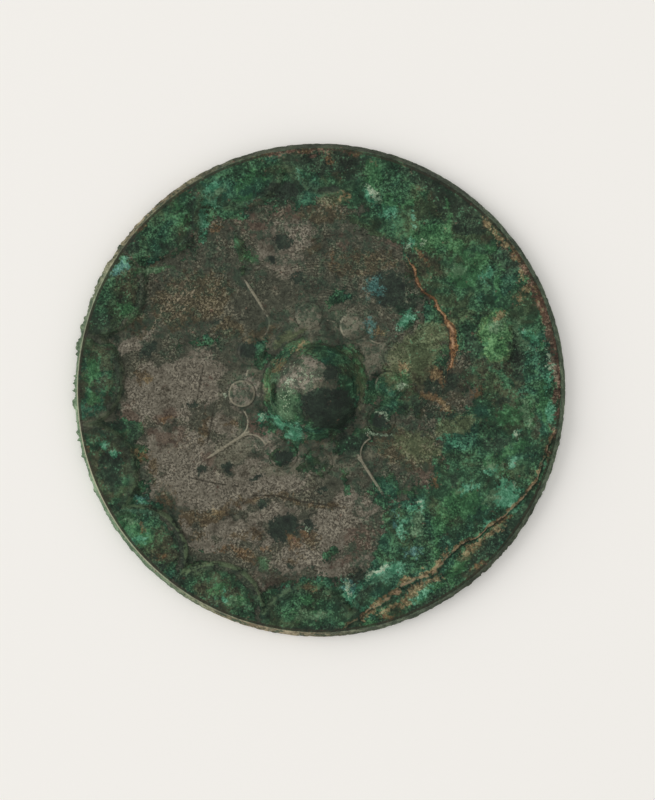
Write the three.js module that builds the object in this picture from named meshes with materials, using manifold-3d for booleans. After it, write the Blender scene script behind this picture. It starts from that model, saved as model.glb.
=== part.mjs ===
// A cast bronze mirror, lying on its polished face with the decorated back up.
// Millimetres, +Z up, origin at the centre of the polished face, +X along the cord hole.
import * as THREE from 'three';
import { mergeVertices } from 'three/addons/utils/BufferGeometryUtils.js';
import Module from 'manifold-3d';

// The disc and the scalloped rim
const MIRROR_D = 120;
const FIELD_Z = 2.4;
const RIM_Z = 4.1;
const LIP_Z = 4.4;
const FACE_CHAMFER = 0.4;
const WALL_LEAN = 1.3;
const ARC_COUNT = 16;
const ARC_START_DEG = 3.6;
const ARC_APEX_R = 47.8;
const ARC_CUSP_R = 56.5;
const ARC_SLOPE = 0.6;
const LIP_W = 1.0;
const SEAM_DEG = 0.05;

// The knob and its cord hole. The knob and the relief around it were cast a little off centre.
const KNOB_X = -0.9;
const KNOB_Y = 0.4;
const COLLAR_D = 24.7;
const COLLAR_Z = 3.3;
const COLLAR_EDGE = 0.4;
const KNOB_D = 22.8;
const KNOB_TOP_Z = 11.6;
const HOLE_W = 5.6;
const HOLE_H = 5.0;
const HOLE_CORNER_R = 1.4;

// The low relief around the knob: four stems, each between two discs placed by eye
const BASE_Z = 2.85;
const BASE_R = 17.0;
const STEM_START_DEG = 27.8;
const STEM_END_R = 31.7;
const STEM_W = 0.6;
const TIP_R = 21.2;
const TIP_HALF_DEG = 16;
const DISC_R = 3.15;
const DISC_EDGE = 0.15;
const DISC_Z = 3.0;
const DISC_ORBIT_R = 17.8;
const DISC_TURNS_DEG = [[-30, 26], [-28, 27], [-29, 32], [-30, 32]];
const DISC_GAP = 0.65;
const BAY_R = 3.9;
const BAY_ORBIT_R = 21.8;
const BAY_TURN_DEG = 11;

// How finely round shapes are divided
const DISC_SIDES = 128;
const KNOB_SIDES = 48;
const KNOB_RINGS = 9;
const LOBE_SIDES = 48;
const SMALL_SIDES = 24;
const CORNER_STEPS = 6;

// Cutting tools run past what they cut by PAST, and what stands on the disc is rooted in it
const PAST = 1;
const ROOT_Z = 1;

// Points closer together than this are one point
const SAME_POINT = 1e-5;

const wasm = await Module();
wasm.setup();

const radians = THREE.MathUtils.degToRad;
const turned = (geometry, degrees) => geometry.clone().rotateZ(radians(degrees));

/** A closed three.js geometry as a solid that can be joined and cut. */
function solid(geometry) {
  const bare = geometry.clone();
  bare.deleteAttribute('normal');
  bare.deleteAttribute('uv');
  const merged = mergeVertices(bare, SAME_POINT);
  const vertProperties = new Float32Array(merged.attributes.position.array);
  const triVerts = new Uint32Array(merged.index.array);
  return new wasm.Manifold(new wasm.Mesh({ numProp: 3, vertProperties, triVerts }));
}

/** A solid's surface as a three.js geometry. */
function surface(body) {
  const { vertProperties, triVerts } = body.getMesh();
  const geometry = new THREE.BufferGeometry();
  geometry.setAttribute('position', new THREE.BufferAttribute(vertProperties, 3));
  geometry.setIndex(new THREE.BufferAttribute(triVerts, 1));
  geometry.computeVertexNormals();
  return geometry;
}

/** A profile of [radius, height] points turned about +Z. */
function turnedSolid(profile, sides) {
  const points = profile.map(([radius, height]) => new THREE.Vector2(radius, height));
  return new THREE.LatheGeometry(points, sides).rotateX(Math.PI / 2);
}

/** An upright round peg from one height to another, wider at the foot by `slope`. */
function peg(radius, from, to, sides, slope = 0) {
  return turnedSolid([[0, from], [radius + slope, from], [radius, to], [0, to]], sides);
}

/** An outline in plan raised from one height to another. */
function slab(outline, from, to) {
  const shape = new THREE.Shape(outline);
  return new THREE.ExtrudeGeometry(shape, { depth: to - from, bevelEnabled: false })
    .translate(0, 0, from);
}

/** The point at a distance and a bearing from the mirror's axis. */
function polar(radius, degrees) {
  return new THREE.Vector2(radius, 0).rotateAround(new THREE.Vector2(), radians(degrees));
}

/** The plain disc with its leaning wall, as high as the lip. */
function blank() {
  const r = MIRROR_D / 2;
  return solid(turnedSolid([
    [0, 0],
    [r - FACE_CHAMFER, 0],
    [r, FACE_CHAMFER],
    [r - WALL_LEAN, RIM_Z],
    [r - WALL_LEAN - (LIP_Z - RIM_Z), LIP_Z],
    [0, LIP_Z],
  ], DISC_SIDES));
}

/** One of the inward-facing arcs of the rim: a low round lobe with a lip along its edge. */
function rimLobe() {
  const half = 180 / ARC_COUNT;
  const cusp = polar(ARC_CUSP_R, half);
  // the circle through the lobe's apex and its two cusps
  const centreR = (ARC_CUSP_R ** 2 - ARC_APEX_R ** 2) / (2 * (cusp.x - ARC_APEX_R));
  const lobeR = centreR - ARC_APEX_R;
  const dish = turnedSolid([
    [0, ROOT_Z],
    [lobeR + ARC_SLOPE, ROOT_Z],
    [lobeR + ARC_SLOPE, FIELD_Z],
    [lobeR, LIP_Z],
    [lobeR - LIP_W / 2, LIP_Z],
    [lobeR - LIP_W, RIM_Z],
    [0, RIM_Z],
  ], LOBE_SIDES).translate(centreR, 0, 0);
  const reach = MIRROR_D;
  const spread = half + SEAM_DEG;
  const sector = slab([
    new THREE.Vector2(),
    polar(reach, -spread),
    polar(reach, spread),
  ], 0, LIP_Z + PAST);
  return solid(dish).intersect(solid(sector));
}

/** The scalloped rim, all its lobes joined by a narrow band at the wall. */
function rim() {
  const lobe = surface(rimLobe());
  const band = solid(peg(MIRROR_D / 2 - FACE_CHAMFER, ROOT_Z, RIM_Z, DISC_SIDES))
    .subtract(solid(peg(ARC_CUSP_R + LIP_W, 0, RIM_Z + PAST, DISC_SIDES)));
  let joined = band;
  for (let i = 0; i < ARC_COUNT; i += 1) {
    const degrees = ARC_START_DEG + (i + 0.5) * 360 / ARC_COUNT;
    joined = joined.add(solid(turned(lobe, degrees)));
  }
  return joined;
}

/** The wedge of the knob's base that runs out to a stem, at a bearing of zero. */
function tip() {
  return slab([
    new THREE.Vector2(),
    polar(TIP_R, -TIP_HALF_DEG),
    polar(TIP_R, TIP_HALF_DEG),
  ], ROOT_Z, BASE_Z);
}

/** A stem: a thin raised line that narrows outward from a tip, at a bearing of zero. */
function stem() {
  const startR = TIP_R - 2 * STEM_W;
  return slab([
    new THREE.Vector2(startR, -STEM_W / 2),
    new THREE.Vector2(STEM_END_R, -STEM_W / 4),
    new THREE.Vector2(STEM_END_R, STEM_W / 4),
    new THREE.Vector2(startR, STEM_W / 2),
  ], ROOT_Z, BASE_Z);
}

/** The low base around the knob, with a bay beside each stem and one about each small disc. */
function knobBase() {
  let base = solid(peg(BASE_R, ROOT_Z, BASE_Z, DISC_SIDES));
  const cuts = [];
  const raised = [];
  DISC_TURNS_DEG.forEach((turns, i) => {
    const bearing = STEM_START_DEG + i * 360 / DISC_TURNS_DEG.length;
    base = base.add(solid(turned(tip(), bearing)));
    raised.push(turned(stem(), bearing));
    for (const turn of turns) {
      const bay = polar(BAY_ORBIT_R, bearing + Math.sign(turn) * BAY_TURN_DEG);
      const spot = polar(DISC_ORBIT_R, bearing + turn);
      const bayCut = peg(BAY_R, FIELD_Z, BASE_Z + PAST, SMALL_SIDES);
      const spotCut = peg(DISC_R + DISC_GAP, FIELD_Z, BASE_Z + PAST, SMALL_SIDES);
      const disc = peg(DISC_R - DISC_EDGE, ROOT_Z, DISC_Z, SMALL_SIDES, DISC_EDGE);
      cuts.push(bayCut.translate(bay.x, bay.y, 0));
      cuts.push(spotCut.translate(spot.x, spot.y, 0));
      raised.push(disc.translate(spot.x, spot.y, 0));
    }
  });
  for (const cut of cuts) base = base.subtract(solid(cut));
  for (const piece of raised) base = base.add(solid(piece));
  return base;
}

/** The domed knob on its collar, before the cord hole is cut. */
function knob() {
  const rise = KNOB_TOP_Z - COLLAR_Z;
  const foot = KNOB_D / 2;
  const sphereR = (foot ** 2 + rise ** 2) / (2 * rise);
  const centreZ = KNOB_TOP_Z - sphereR;
  const start = Math.asin((COLLAR_Z - centreZ) / sphereR);
  const profile = [
    [0, ROOT_Z],
    [COLLAR_D / 2, ROOT_Z],
    [COLLAR_D / 2, COLLAR_Z - COLLAR_EDGE],
    [COLLAR_D / 2 - COLLAR_EDGE, COLLAR_Z],
  ];
  for (let i = 0; i < KNOB_RINGS; i += 1) {
    const latitude = THREE.MathUtils.lerp(start, Math.PI / 2, i / KNOB_RINGS);
    profile.push([sphereR * Math.cos(latitude), centreZ + sphereR * Math.sin(latitude)]);
  }
  profile.push([0, KNOB_TOP_Z]);
  return solid(turnedSolid(profile, KNOB_SIDES));
}

/** The passage for the cord, straight through the knob along X and round at its upper corners. */
function cordHole() {
  const half = HOLE_W / 2;
  const arch = new THREE.Shape();
  arch.moveTo(-half, 0);
  arch.lineTo(half, 0);
  arch.lineTo(half, HOLE_H - HOLE_CORNER_R);
  arch.absarc(half - HOLE_CORNER_R, HOLE_H - HOLE_CORNER_R, HOLE_CORNER_R, 0, Math.PI / 2);
  arch.absarc(HOLE_CORNER_R - half, HOLE_H - HOLE_CORNER_R, HOLE_CORNER_R, Math.PI / 2, Math.PI);
  const length = COLLAR_D + 2 * PAST;
  const passage = new THREE.ExtrudeGeometry(arch, {
    depth: length,
    bevelEnabled: false,
    curveSegments: CORNER_STEPS,
  });
  passage.rotateX(Math.PI / 2).rotateZ(Math.PI / 2);
  passage.translate(KNOB_X - length / 2, KNOB_Y, COLLAR_Z);
  return solid(passage);
}

/** The whole casting. */
function mirror() {
  const aboveField = solid(peg(MIRROR_D, FIELD_Z, LIP_Z + PAST, SMALL_SIDES));
  const plate = blank().subtract(aboveField);
  const scallops = rim().intersect(blank());
  const boss = knobBase().add(knob()).translate([KNOB_X, KNOB_Y, 0]);
  return plate.add(scallops).add(boss).subtract(cordHole());
}

const bronze = new THREE.MeshStandardMaterial({
  color: 0x4f6b55,
  roughness: 0.7,
  metalness: 0.4,
});

const group = new THREE.Group();
const casting = new THREE.Mesh(surface(mirror()), bronze);
casting.name = 'mirror';
group.add(casting);

export default group;
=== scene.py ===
import math

import bpy
import numpy as np
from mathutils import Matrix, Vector


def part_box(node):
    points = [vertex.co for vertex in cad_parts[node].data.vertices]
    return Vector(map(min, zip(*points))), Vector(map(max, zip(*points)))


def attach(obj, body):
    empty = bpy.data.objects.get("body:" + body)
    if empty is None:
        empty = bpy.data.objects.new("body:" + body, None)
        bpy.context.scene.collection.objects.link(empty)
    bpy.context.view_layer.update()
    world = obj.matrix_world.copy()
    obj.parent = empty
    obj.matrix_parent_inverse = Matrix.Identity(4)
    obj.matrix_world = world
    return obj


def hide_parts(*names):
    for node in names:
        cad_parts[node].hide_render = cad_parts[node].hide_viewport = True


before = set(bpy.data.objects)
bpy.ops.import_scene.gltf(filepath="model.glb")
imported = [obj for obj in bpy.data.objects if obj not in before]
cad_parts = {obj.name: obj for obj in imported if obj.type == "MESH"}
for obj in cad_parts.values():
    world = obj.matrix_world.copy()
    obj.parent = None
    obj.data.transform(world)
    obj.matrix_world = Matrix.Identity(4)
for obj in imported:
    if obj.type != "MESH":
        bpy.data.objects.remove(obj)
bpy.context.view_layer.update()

# ---------------------------------------------------------------------------------------------
# The casting. A disc of high-tin bronze cast in one, lying on its polished face: a plain field
# inside a rim of sixteen inward-facing arcs, a domed knob on a collar, and very low relief. It
# is made as one closed net of rings, and everything is in millimetres until the mesh is made.
# ---------------------------------------------------------------------------------------------
MM = 0.001
low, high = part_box("mirror")
DISC_R = (high.x - low.x) / 2 / MM
KNOB_TOP_Z = high.z / MM

FIELD_Z = 2.4
RIM_Z = 4.1
LIP_Z = 4.4
WALL_LEAN = 1.3
WALL_FOOT_Z = 0.4
WALL_TOP_Z = 3.85

ARC_COUNT = 16
ARC_STEP = 360 / ARC_COUNT
ARC_START = 3.6
ARC_APEX_R = 47.8
ARC_CUSP_R = 56.5
BAND_R = 57.2
LIP_WEAR = 0.1  # worn off the top of each arc's lip
LIP_DROP = 0.32  # from the lip down to the lobe behind it
LOBE_SWELL = 0.12  # how far each lobe swells towards its middle

KNOB_X, KNOB_Y = -0.9, 0.4
KNOB_R = 11.4
COLLAR_R = 12.35
COLLAR_Z = 3.3
HOLE_W = 5.6
HOLE_H = 5.0
HOLE_CORNER_R = 1.4

BASE_RISE = 0.45
BASE_R = 17.0
TIP_R = 21.2
TIP_HALF = 16
STEM_START = 27.8
STEM_END_R = 33.2
STEM_W = 0.5
STEM_FADE = 4
SPOT_RISE = 0.45
SPOT_SWELL = 0.15
SPOT_R = 3.15
SPOT_ORBIT_R = 17.8
SPOT_TURNS = ((-30, 26), (-28, 27), (-29, 32), (-30, 32))
SPOT_GAP = 0.65
BAY_R = 3.9
BAY_ORBIT_R = 21.8
BAY_TURN = 11
SOFT_EDGE = (-0.3, 0.25)  # the worn slope at the edge of the base and of the small discs

NET = 0.37  # the net's spacing on the decorated back

# The mirror lies with its cord hole turned this far from the camera's left-to-right
LAID_TURN = math.radians(5)

# The side of the table of random heights that a cloud is drawn from, and what brings a mix of
# them back to between about -1 and 1
CLOUD_CELLS = 128
CLOUD_GAIN = 1.6


def ramp(value, start, end):
    """0 before start, 1 after end, and smooth between."""
    t = np.clip((value - start) / (end - start), 0, 1)
    return t * t * (3 - 2 * t)


def hump(value, middle, spread):
    """1 at the middle and falling away to both sides."""
    return np.exp(-(((value - middle) / spread) ** 2))


def turned_off(bearing, middle):
    """Degrees between a bearing and a middle one, from -180 to 180."""
    return (bearing - middle + 180) % 360 - 180


def polar(radius, degrees):
    """The point at a distance and a bearing."""
    return radius * math.cos(math.radians(degrees)), radius * math.sin(math.radians(degrees))


def cloud(x, y, size, seed, octaves=3, fade=0.5):
    """Seeded random relief between about -1 and 1, its largest features `size` mm across."""
    total, weight, sum_weight = 0, 1.0, 0.0
    for k in range(octaves):
        table = np.random.default_rng(seed * 31 + k).uniform(-1, 1, (CLOUD_CELLS, CLOUD_CELLS))
        turn = 0.6 + 1.1 * k
        u = (x * math.cos(turn) - y * math.sin(turn)) / size + 11.3 * k
        v = (x * math.sin(turn) + y * math.cos(turn)) / size - 7.9 * k
        i, j = np.floor(u).astype(int), np.floor(v).astype(int)
        s, t = u - i, v - j
        s, t = s * s * (3 - 2 * s), t * t * (3 - 2 * t)
        i, i1 = i % CLOUD_CELLS, (i + 1) % CLOUD_CELLS
        j, j1 = j % CLOUD_CELLS, (j + 1) % CLOUD_CELLS
        row0 = table[i, j] * (1 - s) + table[i1, j] * s
        row1 = table[i, j1] * (1 - s) + table[i1, j1] * s
        total = total + weight * (row0 * (1 - t) + row1 * t)
        sum_weight += weight
        weight *= fade
        size *= 0.5
    return total / sum_weight * CLOUD_GAIN


# The circle through an arc's apex and its two cusps
cusp_x, _ = polar(ARC_CUSP_R, ARC_STEP / 2)
ARC_CENTRE_R = (ARC_CUSP_R**2 - ARC_APEX_R**2) / (2 * (cusp_x - ARC_APEX_R))
ARC_R = ARC_CENTRE_R - ARC_APEX_R


def arc_depth(x, y):
    """How far inside the nearest rim arc a place is, negative on the field."""
    bearing = np.degrees(np.arctan2(y, x)) - ARC_START
    off = np.radians(bearing % ARC_STEP - ARC_STEP / 2)
    r = np.hypot(x, y)
    inside = ARC_R - np.hypot(r * np.cos(off) - ARC_CENTRE_R, r * np.sin(off))
    return np.maximum(inside, r - BAND_R)


def relief_places():
    """The middles of the small discs and of the bays, and the bearings of the stems."""
    spots, bays, stems = [], [], []
    for i, turns in enumerate(SPOT_TURNS):
        bearing = STEM_START + i * 360 / len(SPOT_TURNS)
        stems.append(bearing)
        for turn in turns:
            spots.append(polar(SPOT_ORBIT_R, bearing + turn))
            bays.append(polar(BAY_ORBIT_R, bearing + math.copysign(BAY_TURN, turn)))
    return spots, bays, stems


spots, bays, stems = relief_places()


def spot_depth(x, y):
    """How far inside the nearest small disc a place is. x and y are from the knob's middle."""
    return np.max([SPOT_R - np.hypot(x - sx, y - sy) for sx, sy in spots], axis=0)


def stem_gap(x, y):
    """The distance to the middle line of the nearest stem, and how far out along it."""
    gap, along = np.full(x.shape, np.inf), np.zeros(x.shape)
    for bearing in stems:
        c, s = polar(1, bearing)
        out = x * c + y * s
        side = np.abs(y * c - x * s)
        over = np.maximum(np.maximum(TIP_R - 2 - out, out - STEM_END_R), 0)
        here = np.hypot(side, over)
        along = np.where(here < gap, out, along)
        gap = np.minimum(gap, here)
    return gap, along


def base_depth(x, y):
    """How far inside the knob's low base a place is: a round plate with tips, cut by the bays."""
    r = np.hypot(x, y)
    depth = BASE_R - r
    for bearing in stems:
        off = np.abs(turned_off(np.degrees(np.arctan2(y, x)), bearing))
        wedge = np.minimum(TIP_R - r, np.radians(TIP_HALF - off) * r)
        depth = np.maximum(depth, wedge)
    for bx, by in bays:
        depth = np.minimum(depth, np.hypot(x - bx, y - by) - BAY_R)
    for sx, sy in spots:
        depth = np.minimum(depth, np.hypot(x - sx, y - sy) - SPOT_R - SPOT_GAP)
    return depth


KNOB_RISE = KNOB_TOP_Z - COLLAR_Z
DOME_R = (KNOB_R**2 + KNOB_RISE**2) / (2 * KNOB_RISE)
DOME_Z = KNOB_TOP_Z - DOME_R


def dome_height(from_middle):
    """The height of the knob's dome as it was cast."""
    return DOME_Z + np.sqrt(np.maximum(DOME_R**2 - from_middle**2, 0))


def cast_height(x, y):
    """The height of the back as it was cast."""
    kx, ky = x - KNOB_X, y - KNOB_Y
    kr = np.hypot(kx, ky)
    arc = arc_depth(x, y)
    z = FIELD_Z + (LIP_Z - LIP_WEAR - FIELD_Z) * ramp(arc, -1.3, 0.3)
    z = z - LIP_DROP * ramp(arc, 0.6, 1.3) + LOBE_SWELL * ramp(arc, 1.6, 4)
    z = z + BASE_RISE * ramp(base_depth(kx, ky), *SOFT_EDGE)
    gap, along = stem_gap(kx, ky)
    fade = ramp(along, STEM_END_R + 0.5, STEM_END_R - STEM_FADE)
    z = np.maximum(z, FIELD_Z + BASE_RISE * fade * (1 - ramp(gap, 0.05, STEM_W)))
    spot = spot_depth(kx, ky)
    spot_z = FIELD_Z + SPOT_RISE * ramp(spot, *SOFT_EDGE) + SPOT_SWELL * ramp(spot, 0.2, 2.2)
    z = np.maximum(z, spot_z)
    collar = 1 - ramp(kr, COLLAR_R - 0.3, COLLAR_R + 0.45)
    z = np.maximum(z, FIELD_Z + (COLLAR_Z - FIELD_Z) * collar)
    return np.where(kr < KNOB_R, np.maximum(z, dome_height(kr)), z)


# ---------------------------------------------------------------------------------------------
# The corrosion. Green crust over the rim and most of the right side, stains on the bare metal,
# and two long cracks where the crust has lifted. Each kind has its places, as ovals given
# in mm from the disc's middle: x to the right and y up, as the camera sees the mirror.
# ---------------------------------------------------------------------------------------------
SOFT = 1.6  # mm from a patch's edge, where its mask is 0.5, to where the mask reaches 1
WANDER = 0.9  # how far the edge of a patch wanders from its oval
FAR_OUT = -9  # the depth of places that are nowhere near


def seen(x, y):
    """Places in the mirror's own axes, turned to the camera's."""
    c, s = math.cos(LAID_TURN), math.sin(LAID_TURN)
    return x * c - y * s, x * s + y * c


def oval(x, y, places):
    """The mask of a set of ovals: (x, y, half length, half width, turn in degrees)."""
    best = np.full(x.shape, float(FAR_OUT))
    for px, py, long, wide, turn in places:
        c, s = polar(1, turn)
        u = ((x - px) * c + (y - py) * s) / long
        v = ((y - py) * c - (x - px) * s) / wide
        best = np.maximum(best, (1 - np.hypot(u, v)) * math.sqrt(long * wide))
    return 0.5 + best / (2 * SOFT)


def beside(x, y, points):
    """The distance to a line through points, positive on its left."""
    best, side = np.full(x.shape, np.inf), np.ones(x.shape)
    for (ax, ay), (bx, by) in zip(points[:-1], points[1:]):
        length = math.hypot(bx - ax, by - ay)
        dx, dy = (bx - ax) / length, (by - ay) / length
        along = np.clip((x - ax) * dx + (y - ay) * dy, 0, length)
        gap = np.hypot(x - ax - along * dx, y - ay - along * dy)
        cross = dx * (y - ay) - dy * (x - ax)
        side = np.where(gap < best, np.where(cross < 0, -1, 1), side)
        best = np.minimum(best, gap)
    return best * side


def nearest(x, y, lines):
    """The signed distance to the nearest of several lines."""
    each = np.array([beside(x, y, line) for line in lines])
    return np.take_along_axis(each, np.abs(each).argmin(0)[None], 0)[0]


def around(bearing, *swells):
    """Swells round the mirror, added up: (bearing of the middle, spread in degrees, how much)."""
    return sum(much * hump(turned_off(bearing, middle), 0, spread) for middle, spread, much in swells)


# Where the crust on the right half begins: its distance from the middle at each bearing
CRUST_EDGE = (
    (-95, 46), (-78, 45.5), (-70, 40), (-60, 34), (-50, 31), (-40, 33), (-25, 33), (-12, 31), (0, 38),
    (12, 37), (25, 27), (38, 29), (50, 34), (62, 38), (72, 42), (84, 46), (95, 47.5), (110, 46.5),
    (125, 47), (140, 48), (265, 46),
)
CRUST_STARTS, CRUST_STOPS = -96, 141

# The ridge of the long crack at the upper right, and the lip of the lifted crust at the lower right
CRACK = (
    (22.8, 30.2), (24, 27.4), (25.4, 24.3), (27.2, 21.8), (29.4, 19.2), (30.3, 16.4), (31.8, 14),
    (32.4, 11.4), (32.2, 8.6), (31.5, 6),
)
FLAP = (
    (6.6, -56.8), (11.5, -53.4), (15.5, -51), (20, -48.2), (23.3, -45.9), (27, -45), (29.4, -42.6),
    (31, -40.2), (34, -38), (37, -36), (39.2, -34.3), (41.5, -32.8), (45, -30.4), (47.5, -28), (50, -25),
    (52.6, -21.8), (54, -17.5), (55.2, -13.6), (57.6, -10.5),
)

# Dark lines scored in the metal, and light scratches
SCORES = (
    ((-28.2, 5.4), (-28.8, 1.8), (-29.4, -1.8)),
    ((-25.4, -4.4), (-26, -8.2), (-27, -12.4)),
    ((-30.6, -21.4), (-25, -22.6), (-19.6, -23.4)),
    ((-19, -28), (-15.6, -25.5), (-10, -25.6), (-5, -26.9), (0, -27.6), (5.2, -28.5)),
    ((-1.6, 36.2), (2, 37.4), (6.5, 37.8)),
)
SCRATCHES = (
    ((-36.9, 19.4), (-35.7, 23)), ((-34.2, 21.8), (-32.2, 24.6)), ((-33, 19), (-32.2, 20.6)),
    ((-31, 22.6), (-30.2, 24.4)), ((-40, 15), (-39.7, 16.4)), ((-38.6, 18), (-38, 19.8)),
)

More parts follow.
